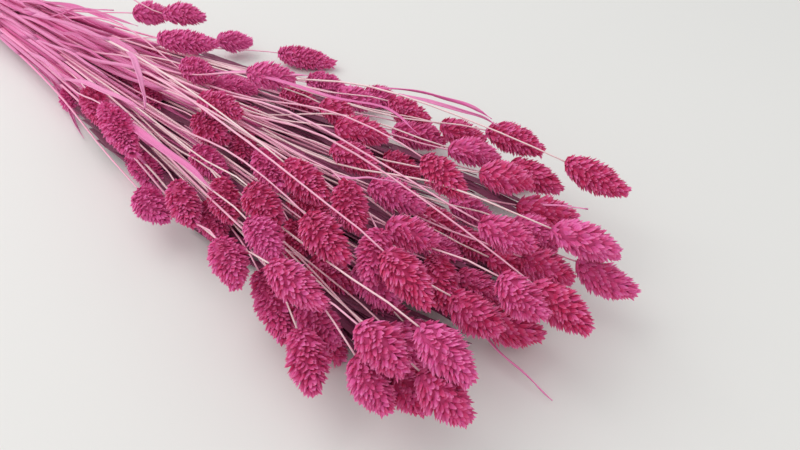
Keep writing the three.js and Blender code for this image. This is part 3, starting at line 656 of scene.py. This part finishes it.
def scaleFinish():
    look = scaleLook
    finish = Finish("dyedScales", look)
    along, across, shade, tone = (finish.carried(name) for name in carried)
    fibre = finish.noise(look["fibre"], look["fibreDetail"])
    # the tone mixes a random dye with painted light: heads at the bunch's edges and towards the band are
    # lighter and more violet
    mixed = finish.between(tone * look["byTone"] + shade * look["byShade"], *look["violetWhere"])
    colourSoFar = finish.blend(mixed, look["crimson"], look["violet"])
    colourSoFar = finish.coat(colourSoFar, fibre, **look["vein"])
    colourSoFar = finish.coat(colourSoFar, 1 - finish.between(along, *look["rootEnds"]), **look["root"])
    # painted highlight along the keels
    colourSoFar = finish.coat(colourSoFar, across, **look["keelHighlight"])
    colourSoFar = finish.coat(colourSoFar, along, shows=shade * look["tipByShade"] + look["tipShows"], **look["tip"])
    return finish.finished(colourSoFar, fibre, fibre)


# Culms: lilac dye towards the butts, nearly bare straw pink towards the heads, in long streaks
culmLook = {
    "everywhere": {"Coat Weight": 0.15, "Coat Roughness": 0.35},
    "lilac": (255, 146, 202), "pink": (255, 190, 216), "straw": (255, 230, 230), "strawWhere": (0.2, 0.9),
    "bareWhere": (-120 * mm, 60 * mm), "bareWanders": 60 * mm, "bareLeast": 0.1, "bareMore": 0.85,
    "streak": {"colour": (226, 92, 160), "shows": 0.4, "where": (0.5, 0.8)},
    "streaks": (30, 1500, 1500), "streakDetail": 3, "patches": (25, 160, 160), "patchDetail": 2,
    "rough": 0.3, "rougher": 0.3, "relief": 0.3, "depth": 0.2 * mm,
}


def culmFinish():
    look = culmLook
    finish = Finish("dyedCulms", look)
    lengthwise = finish.node("ShaderNodeSeparateXYZ", values={0: finish.spot()})
    streaks = finish.noise(1, look["streakDetail"], look["streaks"])
    patches = finish.noise(1, look["patchDetail"], look["patches"])
    wandering = lengthwise + patches * look["bareWanders"] - look["bareWanders"] / 2
    bare = finish.between(wandering, *look["bareWhere"]) * look["bareMore"] + look["bareLeast"]
    pale = finish.between(finish.carried("shade"), *look["strawWhere"])
    colourSoFar = finish.blend(bare, look["lilac"], finish.blend(pale, look["pink"], look["straw"]))
    colourSoFar = finish.coat(colourSoFar, streaks, **look["streak"])
    return finish.finished(colourSoFar, streaks, streaks)


# Leaves and sheaths: lilac pink with fine veins along the blade, and darkened with painted shade where they
# lie under the heap
leafLook = {
    "everywhere": {"Sheen Weight": 0.15, "Sheen Roughness": 0.4},
    "lilac": (244, 120, 188), "pink": (255, 160, 212), "pinkWhere": (0.3, 0.7), "byStreaks": 0.6,
    "byShade": 0.4, "streaks": (18, 700, 700), "streakDetail": 3,
    "veins": 9, "veinWave": 0.5, "veinStreaks": 0.9, "veinWhere": (0.55, 1),
    "vein": {"colour": (188, 54, 134), "shows": 0.6},
    "dry": {"colour": (253, 204, 218), "shows": 0.5, "where": (0.6, 0.8)},
    # painted shade: the dark colour of litter leaves that lie under the heap
    "low": {"colour": (98, 14, 56), "shows": 0.85},
    "rough": 0.4, "rougher": 0.25, "relief": 0.4, "depth": 0.25 * mm, "veinRelief": 0.7, "streakRelief": 0.3,
}


def leafFinish():
    look = leafLook
    finish = Finish("dyedLeaves", look)
    across, shade, low = (finish.carried(name) for name in ("across", "shade", "tone"))
    streaks = finish.noise(1, look["streakDetail"], look["streaks"])
    wave = finish.node("ShaderNodeMath", {"operation": "SINE"}, {0: across * (math.pi * look["veins"])})
    veins = finish.between(wave * look["veinWave"] + streaks * look["veinStreaks"], *look["veinWhere"])
    mixed = finish.between(streaks * look["byStreaks"] + shade * look["byShade"], *look["pinkWhere"])
    colourSoFar = finish.blend(mixed, look["lilac"], look["pink"])
    colourSoFar = finish.coat(colourSoFar, veins, **look["vein"])
    colourSoFar = finish.coat(colourSoFar, streaks, **look["dry"])
    # painted shade over the litter that lies under the heap
    colourSoFar = finish.coat(colourSoFar, low, **look["low"])
    return finish.finished(colourSoFar, streaks, veins * look["veinRelief"] + streaks * look["streakRelief"])


# The band: tan rubber, dulled by dust
bandLook = {
    "everywhere": {}, "tan": (214, 190, 148), "dust": 300, "dustDetail": 4,
    "dusty": {"colour": (228, 214, 184), "shows": 0.6, "where": (0.4, 0.75)},
    "ribs": (900, 40, 40), "ribDetail": 2, "rough": 0.5, "rougher": 0.25, "relief": 0.3, "depth": 0.2 * mm,
}


def bandFinish():
    look = bandLook
    finish = Finish("bandRubber", look)
    dust = finish.noise(look["dust"], look["dustDetail"])
    ribs = finish.noise(1, look["ribDetail"], look["ribs"])
    return finish.finished(finish.coat(look["tan"], dust, **look["dusty"]), dust, ribs)


def floorFinish():
    finish = Finish("paleTable", floor)
    grain = finish.noise(floor["grain"], floor["grainDetail"])
    lighter = [value + floor["lighter"] for value in floor["colour"]]
    finish.feed(finish.shader, {"Base Color": finish.blend(grain, floor["colour"], lighter)})
    return finish.material


finishes = {"culms": culmFinish(), "scales": scaleFinish(), "leaves": leafFinish()}
slots = list(finishes)
print("dyes are mixed")

# Shapes that are bent on to their places: each is a small mesh that carries what its finish reads
nearAxis = 1e-4  # a point of a round shape that is nearer to its middle is a pole
pressDepth = 2 * mm


def meshOf(bm, name, *looks):
    mesh = bpy.data.meshes.new(name)
    bm.to_mesh(mesh)
    bm.free()
    for look in looks:
        mesh.materials.append(look)
    return mesh


def keep(bm, name, slot, smooth=True):
    for face in bm.faces:
        face.smooth = smooth
        face.material_index = slots.index(slot)
    mesh = meshOf(bm, name)
    for value in carried:
        mesh.attributes.new(value, "FLOAT", "POINT")
    return mesh


def places(mesh):
    found = np.empty(len(mesh.vertices) * 3)
    mesh.vertices.foreach_get("co", found)
    return found.reshape(-1, 3)


def add(bm, shape, spots, **values):  # the shape with its points at these spots, and these values on it
    shaped = shape.copy()
    shaped.vertices.foreach_set("co", spots.ravel())
    for name, value in values.items():
        given = np.broadcast_to(value, len(spots)).astype(np.float32)
        shaped.attributes[name].data.foreach_set("value", given)
    bm.from_mesh(shaped)
    bpy.data.meshes.remove(shaped)


def pressed(heights):  # what would reach into the table is pressed thin over it, but never quite flat
    soft = aboveTable + pressDepth
    thin = aboveTable + pressDepth * np.exp(np.minimum(heights - soft, 0) / pressDepth)
    return np.where(heights < soft, thin, heights)


def crossways(along):  # directions across lines: one level, the other as upright as it can be
    side = np.cross((0, 0, 1), along)
    side /= np.linalg.norm(side, axis=-1, keepdims=True)
    return side, np.cross(along, side)


def turned(side, rise, angle):
    return side * np.cos(angle) + rise * np.sin(angle), rise * np.cos(angle) - side * np.sin(angle)


def lengthOf(points):
    return np.linalg.norm(np.diff(points, axis=0), axis=1).sum()


def smoothLine(points, shares, leave=None):  # a smooth line, its heading and the points passed
    steps = np.linalg.norm(np.diff(points, axis=0), axis=1)
    knots = np.concatenate(([0], np.cumsum(steps))) / steps.sum()
    slopes = np.gradient(points, knots, axis=0)
    if leave is not None:
        slopes[-1] = leave / np.linalg.norm(leave) * steps.sum()
    k = np.clip(np.searchsorted(knots, shares, side="right") - 1, 0, len(steps) - 1)
    width = (knots[k + 1] - knots[k])[:, None]
    t = (shares - knots[k])[:, None] / width
    square, cube = t ** 2, t ** 3
    p, q, m, n = points[k], points[k + 1], slopes[k] * width, slopes[k + 1] * width
    line = (2 * cube - 3 * square + 1) * p + (cube - 2 * square + t) * m
    line = line + (3 * square - 2 * cube) * q + (cube - square) * n
    heading = (6 * square - 6 * t) * (p - q) + (3 * square - 4 * t + 1) * m + (3 * square - 2 * t) * n
    heading /= np.linalg.norm(heading, axis=1, keepdims=True)
    return line, heading, np.interp(shares, knots, np.arange(len(points)))


# A stalk: a round tube whose butt is cut open
stalk = {
    "sides": 8, "rings": 30, "wall": 0.4, "hollow": 0.01, "intoHead": 4 * mm, "nod": 0.55,
    "slim": (0.92, 0.46),  # against the solid, at the butt and at the neck
    "eased": 12, "ease": 0.5, "strays": 5 * mm,
}


def makeStalk(name, rings, slot, hollow):
    bm = bmesh.new()
    bmesh.ops.create_cone(bm, cap_ends=True, segments=stalk["sides"], radius1=1, radius2=1, depth=1,
                          matrix=Matrix.Translation((0, 0, 0.5)))
    runs = [edge for edge in bm.edges if abs(edge.verts[0].co.z - edge.verts[1].co.z) > 0.5]
    bmesh.ops.subdivide_edges(bm, edges=runs, cuts=rings, use_grid_fill=True)
    bm.faces.ensure_lookup_table()
    if hollow:
        butt = [face for face in bm.faces if face.normal.z < -0.5]
        bmesh.ops.inset_region(bm, faces=butt, thickness=stalk["wall"])
        cut = bmesh.ops.extrude_face_region(bm, geom=butt)["geom"]
        bmesh.ops.delete(bm, geom=butt, context="FACES")
        deep = [item for item in cut if isinstance(item, bmesh.types.BMVert)]
        bmesh.ops.translate(bm, verts=deep, vec=(0, 0, stalk["hollow"]))
    return keep(bm, name, slot)


# Sheaths wrap the culms: one from the band on, and one from a joint further up
wraps = (
    {"beforeHead": (330 * mm, 480 * mm), "length": (110 * mm, 190 * mm), "over": 1.45},
    {"beforeHead": (480 * mm, 620 * mm), "length": (120 * mm, 200 * mm), "over": 1.6},
)
wrap = {"slant": 6 * mm, "rings": 10, "first": (0.02, 0.15), "last": 0.9}


def onLine(points, radii, spots, leave):  # bends a stalk on to a line of points
    line, heading, at = smoothLine(points, spots[:, 2], leave)
    side, rise = crossways(heading)
    girth = np.interp(at, np.arange(len(radii)), radii)[:, None]
    return line + girth * (spots[:, :1] * side + spots[:, 1:2] * rise)


# A spikelet: a keeled blade, widest below its middle, drawn out to a point that curls outwards
spikelet = {
    "sides": 3, "rings": 4, "wide": 2.75 * mm, "thick": 0.75 * mm, "sizes": (0.85, 1.15), "fullAt": 1.1,
    "curl": 0.8 * mm, "curlPower": 3, "sag": 0.3,
}

# Spikelets stand round the stalk by the golden angle, each area of the outline has one, and they reach from
# the core past the outline. They are shorter at the foot of the head, and those at its end splay.
spread = {
    "each": 3.7 * mm * mm, "turn": 2.399963, "wander": 0.35, "sway": 0.22, "roll": 0.5,
    "first": -0.07, "last": 0.92, "steps": 101, "lowest": -0.02,
    "reach": 4.9 * mm, "reaches": (0.8, 1.2), "footReach": 0.8, "footFades": 6,
    "rooted": 0.58, "footRooted": 0.4, "leastRooted": 0.1, "follows": 0.5, "followsTo": 0.98,
    "proud": 1.05, "prouder": (0.92, 1.1), "splay": 0.36, "splays": (0.3, 1.3),
    "passes": 1.03, "drawnBack": 0.7,
}
core = {
    "sides": 10, "rings": 9, "girth": 0.78, "foot": 0.3, "footFades": 5, "length": 0.95,
    "along": 0.1, "shade": 0.3,
}
headKinds = {
    "lengths": (28 * mm, 34 * mm, 40 * mm, 46 * mm), "sorts": 2, "bend": 1.6 * mm, "girth": (0.97, 1.08),
}
# Painted light: heads towards the band and at the bunch's edges are made lighter and more violet, over a
# random dye tone
headTonesAndLight = {
    "spread": (0.2, 0.8), "back": (-500 * mm, -150 * mm), "backPaintedLight": 0.4,
    "edge": (55 * mm, 115 * mm), "edgePaintedLight": 0.25,
}


def girthAt(share):
    return head["radius"] * np.sin(math.pi * lerp(head["cutAt"], 1, np.clip(share, 0, 1))) ** head["fullness"]


def makeSpikelet():
    bm = bmesh.new()
    bmesh.ops.create_uvsphere(bm, u_segments=spikelet["sides"], v_segments=spikelet["rings"], radius=1)
    mesh = keep(bm, "spikelet", "scales", False)
    spots = places(mesh)
    ring = np.maximum(np.linalg.norm(spots[:, :2], axis=1, keepdims=True), nearAxis)
    along = (spots[:, 2:] + 1) / 2
    spots[:, :2] *= np.sin(math.pi * np.clip(along, 0, 1) ** spikelet["fullAt"]) / ring
    spots[:, 2] = along[:, 0]
    mesh.vertices.foreach_set("co", spots.ravel())
    return mesh


def placeSpikelet(share, turn, length, luck):  # its points, on a head that stands on the origin
    pastFoot = share * spread["footFades"]
    shorter = lerp(spread["footReach"], 1, min(max(pastFoot, 0), 1))
    reach = spread["reach"] * luck.uniform(*spread["reaches"]) * shorter
    tipShare = share + reach / length
    narrower = min(1, max(spread["leastRooted"], spread["footRooted"] + pastFoot))
    rooted = girthAt(share) * spread["rooted"] * narrower
    root = np.array((rooted, 0, max(share, spread["lowest"]) * length))
    halfway = min(share + (tipShare - share) * spread["follows"], spread["followsTo"])
    proud = girthAt(halfway) * spread["proud"]
    splayed = head["radius"] * spread["splay"] * luck.uniform(*spread["splays"])
    tip = np.array((max(proud * luck.uniform(*spread["prouder"]), splayed), 0, tipShare * length))
    tip[2] -= max(tipShare - spread["passes"], 0) * length * spread["drawnBack"]
    sway = luck.uniform(-1, 1) * spread["sway"]
    tip[:2] = tip[0] * math.cos(sway), tip[0] * math.sin(sway)
    along = tip - root
    long = np.linalg.norm(along)
    along /= long
    side = np.cross(along, (1, 0, 0))
    side /= np.linalg.norm(side)
    out = np.cross(side, along)
    out *= np.sign(out[0])
    side, out = turned(side, out, luck.uniform(-1, 1) * spread["roll"])
    form = places(spikeletMesh)
    up = form[:, 2:]
    size = luck.uniform(*spikelet["sizes"])
    wide, thick = form[:, 1:2] * spikelet["wide"] * size / 2, form[:, :1] * spikelet["thick"] * size
    curl = spikelet["curl"] * (up ** spikelet["curlPower"] - spikelet["sag"] * np.sin(math.pi * up))
    spots = root + wide * side + (thick + curl) * out + up * long * along
    sine, cosine = math.sin(turn), math.cos(turn)
    return spots @ np.array(((cosine, sine, 0), (-sine, cosine, 0), (0, 0, 1)))


def makeHead(length, luck):  # the head stands on the origin and points up
    bm = bmesh.new()
    bmesh.ops.create_uvsphere(bm, u_segments=core["sides"], v_segments=core["rings"], radius=1)
    coreMesh = keep(bm, "core", "scales")
    spots = places(coreMesh)
    share = (spots[:, 2] + 1) / 2
    ring = np.linalg.norm(spots[:, :2], axis=1)
    out = np.where(ring > nearAxis, girthAt(share) * core["girth"] / np.maximum(ring, nearAxis), 0)
    out *= np.clip(core["foot"] + share * core["footFades"], 0, 1)
    spots = np.column_stack((spots[:, :2] * out[:, None], share * length * core["length"]))
    bm = bmesh.new()
    add(bm, coreMesh, spots, along=core["along"], shade=core["shade"])
    bpy.data.meshes.remove(coreMesh)
    steps = np.linspace(spread["first"], spread["last"], spread["steps"])
    skin = np.concatenate(([0], np.cumsum((girthAt(steps[1:]) + girthAt(steps[:-1])) / 2)))
    count = int(2 * math.pi * skin[-1] * length * (steps[1] - steps[0]) / spread["each"])
    form = places(spikeletMesh)
    for place in range(count):
        share = np.interp((place + 0.5) / count * skin[-1], skin, steps)
        turn = place * spread["turn"] + luck.uniform(-1, 1) * spread["wander"]
        put = placeSpikelet(share, turn, length, luck)
        add(bm, spikeletMesh, put, along=form[:, 2], across=form[:, 0], shade=luck.uniform(0, 1))
    return meshOf(bm, "head")


# A leaf: a thin creased blade with a drawn-out tip
blade = {
    "across": 4, "along": 28, "slim": 0.78, "thick": 0.35 * mm, "fold": 0.5,
    "tip": 0.12, "tipLeast": 0.08, "tipPower": 0.7, "wave": 0.5 * mm, "waves": 5, "phase": 6,
    "rootEase": 2, "rootSteps": 200,
}

# Dry leaves that lie under the culms, close over the table, and fill the heap from below; those that start
# farther along, under the heap, are darkened with painted shade
litter = {
    "each": 8, "from": (0.3, 0.9), "farther": 0.5, "reach": (90 * mm, 170 * mm), "last": 1, "joints": 6,
    "inward": (0.06, 0.42), "lean": 0.03, "under": 5 * mm, "low": (2 * mm, 13 * mm), "lowest": 1.5 * mm,
    # the last pair gives where along the culms the litter's painted shade comes in
    "width": (4 * mm, 7.5 * mm), "twist": 0.5, "across": 2, "along": 10, "paintedShadeFrom": (0.5, 0.75),
}


def makeBlade(across, along):
    bm = bmesh.new()
    bmesh.ops.create_grid(bm, x_segments=across, y_segments=along, size=1)
    return keep(bm, "blade", "leaves")


seed = 7
luck = np.random.default_rng(seed)
stalkMesh = makeStalk("stalk", stalk["rings"], "culms", True)
wrapMesh = makeStalk("wrap", wrap["rings"], "leaves", False)
spikeletMesh = makeSpikelet()
bladeMesh = makeBlade(blade["across"], blade["along"])
litterMesh = makeBlade(litter["across"], litter["along"])
headMeshes = {
    length: [makeHead(length, luck) for _ in range(headKinds["sorts"])] for length in headKinds["lengths"]
}
print("shapes are cut")

# The joints of the solid culms, which their predicted places are moved on to. Each shows as three corners.
ringSearch = {"within": 14 * mm, "apart": 0.35 * mm, "corners": (30, 150, 270), "digits": 7}


def onSolid(one, corners):
    points = one["points"]
    turns = np.radians(ringSearch["corners"])[:, None]
    for i in range(2, len(points) - 1):
        heading = points[i + 1] - points[i - 1]
        side, rise = crossways(heading / np.linalg.norm(heading))
        ring = points[i] + one["radii"][i] * (np.cos(turns) * side + np.sin(turns) * rise)
        moves = corners - ring[0]
        moves = moves[np.linalg.norm(moves, axis=1) < ringSearch["within"]]
        for corner in ring[1:]:
            gaps = np.linalg.norm((corner + moves)[:, None] - corners, axis=2).min(axis=1, initial=1)
            moves = moves[gaps < ringSearch["apart"]]
        if len(moves):
            points[i] += min(moves, key=np.linalg.norm)


def eased(points):  # a culm bends in long sweeps, but stays beside the joints of the solid one
    swept = points.copy()
    for _ in range(stalk["eased"]):
        swept[2:-1] += stalk["ease"] * ((swept[1:-2] + swept[3:]) / 2 - swept[2:-1])
        moved = swept - points
        far = np.linalg.norm(moved, axis=1, keepdims=True)
        swept = points + moved * np.minimum(1, stalk["strays"] / np.maximum(far, stalk["strays"]))
    return swept


def addCulm(bm, one, luck):
    points, top = eased(one["points"]), one["head"]
    slim = np.interp(one["radii"], (culm["neckRadius"], culm["buttRadius"]), stalk["slim"][::-1])
    radii = one["radii"] * slim
    axis = top["end"] - top["base"]
    axis /= np.linalg.norm(axis)
    arrives = points[-1] - points[-2]
    axis = lerp(arrives / np.linalg.norm(arrives), axis, stalk["nod"])
    axis /= np.linalg.norm(axis)
    points = np.vstack((points, top["base"] + axis * stalk["intoHead"]))
    radii = np.append(radii, radii[-1])
    add(bm, stalkMesh, onLine(points, radii, places(stalkMesh), axis), shade=luck.uniform(0, 1))
    length = lengthOf(points)
    for each in wraps:
        start = max(luck.uniform(*wrap["first"]), 1 - luck.uniform(*each["beforeHead"]) / length)
        end = min(start + luck.uniform(*each["length"]) / length, wrap["last"])
        spots = places(wrapMesh)
        slant = spots[:, 1] * wrap["slant"] / length * spots[:, 2]
        spots[:, 2] = lerp(start, end, spots[:, 2]) + slant
        spots[:, :2] *= each["over"]
        put = onLine(points, radii, spots, axis)
        add(bm, wrapMesh, put, shade=luck.uniform(0, 1), across=places(wrapMesh)[:, 0])


# a random dye tone with painted light: lighter and more violet towards the band and at the bunch's edges
def headToneAndLight(base, luck):  # more violet towards the band and at the bunch's edges
    aside = abs(base[1] - bundleAside - litter["lean"] * base[0])
    back = headTonesAndLight["backPaintedLight"] * smoothStep(-base[0], *headTonesAndLight["back"])
    edge = headTonesAndLight["edgePaintedLight"] * smoothStep(aside, *headTonesAndLight["edge"])
    return luck.uniform(*headTonesAndLight["spread"]) + back + edge


def addHead(bm, top, luck):
    axis = top["end"] - top["base"]
    length = np.linalg.norm(axis)
    kind = min(headKinds["lengths"], key=lambda each: abs(each - length))
    shape = headMeshes[kind][luck.integers(headKinds["sorts"])]
    spots = places(shape)
    share = spots[:, 2:] / kind
    turn = luck.uniform(0, 2 * math.pi)
    bend = luck.uniform(-1, 1, 2) * headKinds["bend"]
    around = spots[:, :2] @ np.array(((math.cos(turn), math.sin(turn)), (-math.sin(turn), math.cos(turn))))
    around = around * luck.uniform(*headKinds["girth"]) + bend * (share * (1 - share) * 4)
    side, rise = crossways(axis / length)
    put = top["base"] + around[:, :1] * side + around[:, 1:] * rise + share * axis
    put[:, 2] = pressed(put[:, 2])
    add(bm, shape, put, tone=headToneAndLight(top["base"], luck))


def litterLeaf(points, luck):
    length = lengthOf(points)
    start = lerp(*litter["from"], luck.uniform(0, 1) ** litter["farther"])
    end = min(start + luck.uniform(*litter["reach"]) / length, litter["last"])
    share = np.linspace(0, 1, litter["joints"])
    line = smoothLine(points, lerp(start, end, share))[0]
    line[:, 2] = np.clip(line[:, 2] - litter["under"], litter["lowest"], luck.uniform(*litter["low"]))
    middle = bundleAside + litter["lean"] * line[:, 0]
    line[:, 1] = lerp(line[:, 1], middle, lerp(*litter["inward"], share * luck.uniform(0, 1)))
    outline = np.sin(math.pi * lerp(leaf["first"], leaf["last"], share))
    twist = luck.uniform(-1, 1) * litter["twist"]
    # painted shade: the farther along a litter leaf starts, the deeper under the heap it lies and the darker
    # it is painted
    tone = smoothStep(start, *litter["paintedShadeFrom"])
    return {"points": line, "widths": luck.uniform(*litter["width"]) * outline, "twist": twist, "tone": tone}


def rooted(one, runs):  # a leaf springs from the nearest place on its culms, and keeps its tip
    shift = min(runs - one["points"][0], key=np.linalg.norm)
    share = np.linspace(0, 1, len(one["points"]))[:, None]
    return one | {"points": one["points"] + shift * (1 - share) ** blade["rootEase"]}


def addLeaf(bm, one, shape, luck):
    grid = places(shape)
    across, along = grid[:, 0], (grid[:, 1] + 1) / 2
    line, heading, at = smoothLine(one["points"], along)
    wide = np.interp(at, np.arange(len(one["widths"])), one["widths"])
    wide *= blade["slim"] * np.clip((1 - along) / blade["tip"], blade["tipLeast"], 1) ** blade["tipPower"]
    side, rise = turned(*crossways(heading), -(one["twist"] * along)[:, None])
    phase = luck.uniform(0, blade["phase"])
    lift = np.abs(across) * wide / 2 * blade["fold"]
    lift += blade["wave"] * np.sin(along * math.pi * blade["waves"] + phase) * across ** 2 * along
    put = line + side * (across * wide / 2)[:, None] + rise * lift[:, None]
    put[:, 2] = pressed(put[:, 2])
    add(bm, shape, put, across=across, along=along, shade=luck.uniform(0, 1), tone=one.get("tone", 0))


def finishPiece(bm, name, *nodes):
    mesh = meshOf(bm, name, *finishes.values())
    mesh.transform(Matrix.Translation(layoutOrigin))
    piece = linked(name, mesh)
    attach(piece, "root")
    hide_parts(*nodes)


for pair in range(culmCount // 2):
    bm, blades = bmesh.new(), bmesh.new()
    node = f"culms_{pair + 1:02d}"
    corners = np.unique(places(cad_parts[node].data).round(ringSearch["digits"]), axis=0) - layoutOrigin
    runs = []
    for one in culms:
        if one["owner"] == pair:
            onSolid(one, corners)
            addCulm(bm, one, luck)
            addHead(bm, one["head"], luck)
            for _ in range(litter["each"]):
                addLeaf(blades, litterLeaf(one["points"], luck), litterMesh, luck)
            runs.append(smoothLine(eased(one["points"]), np.linspace(0, 1, blade["rootSteps"]))[0])
    for one in leaves:
        if one["owner"] == pair:
            addLeaf(blades, rooted(one, np.vstack(runs)), bladeMesh, luck)
    bmesh.ops.recalc_face_normals(blades, faces=blades.faces)
    bmesh.ops.solidify(blades, geom=list(blades.faces), thickness=blade["thick"])
    thick = meshOf(blades, "thickBlades")
    bm.from_mesh(thick)
    bpy.data.meshes.remove(thick)
    finishPiece(bm, f"pair_{pair + 1:02d}", node)
print("culms, heads and leaves lie")

# The band: an oval ring, rounded at its edges, with a flat underside
ringCuts = {"segments": 96, "sharp": 1, "bevel": 0.5 * mm, "bevelSegments": 2}


def makeBand():
    bm = bmesh.new()
    outAcross, outUp = bandRing["across"] + bandRing["thickness"], bandRing["up"] + bandRing["thickness"]
    bmesh.ops.create_cone(bm, cap_ends=False, segments=ringCuts["segments"], radius1=1, radius2=1,
                          depth=bandRing["width"])
    for vert in bm.verts:
        x, y, z = vert.co
        vert.co = (z, x * outAcross, max(bundleHeight + y * outUp, 0))
    bmesh.ops.recalc_face_normals(bm, faces=bm.faces)
    bmesh.ops.solidify(bm, geom=list(bm.faces), thickness=bandRing["thickness"])
    bmesh.ops.recalc_face_normals(bm, faces=bm.faces)
    rims = [edge for edge in bm.edges if edge.is_manifold and edge.calc_face_angle(0) > ringCuts["sharp"]]
    bmesh.ops.bevel(bm, geom=rims, offset=ringCuts["bevel"], affect="EDGES",
                    segments=ringCuts["bevelSegments"], profile=0.5, material=-1)
    for face in bm.faces:
        face.smooth = True
    mesh = meshOf(bm, "rubberBand", bandFinish())
    mesh.transform(Matrix.Translation(layoutOrigin + (0, bundleAside, 0)))
    ring = linked("rubberBand", mesh)
    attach(ring, "root")
    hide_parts("band")


makeBand()
bm = bmesh.new()
bmesh.ops.create_grid(bm, x_segments=1, y_segments=1, size=floor["size"] / 2,
                      matrix=Matrix.Translation((0, 0, -floor["below"])))
table = linked("table", meshOf(bm, "table", floorFinish()))
print("band and table are in place")
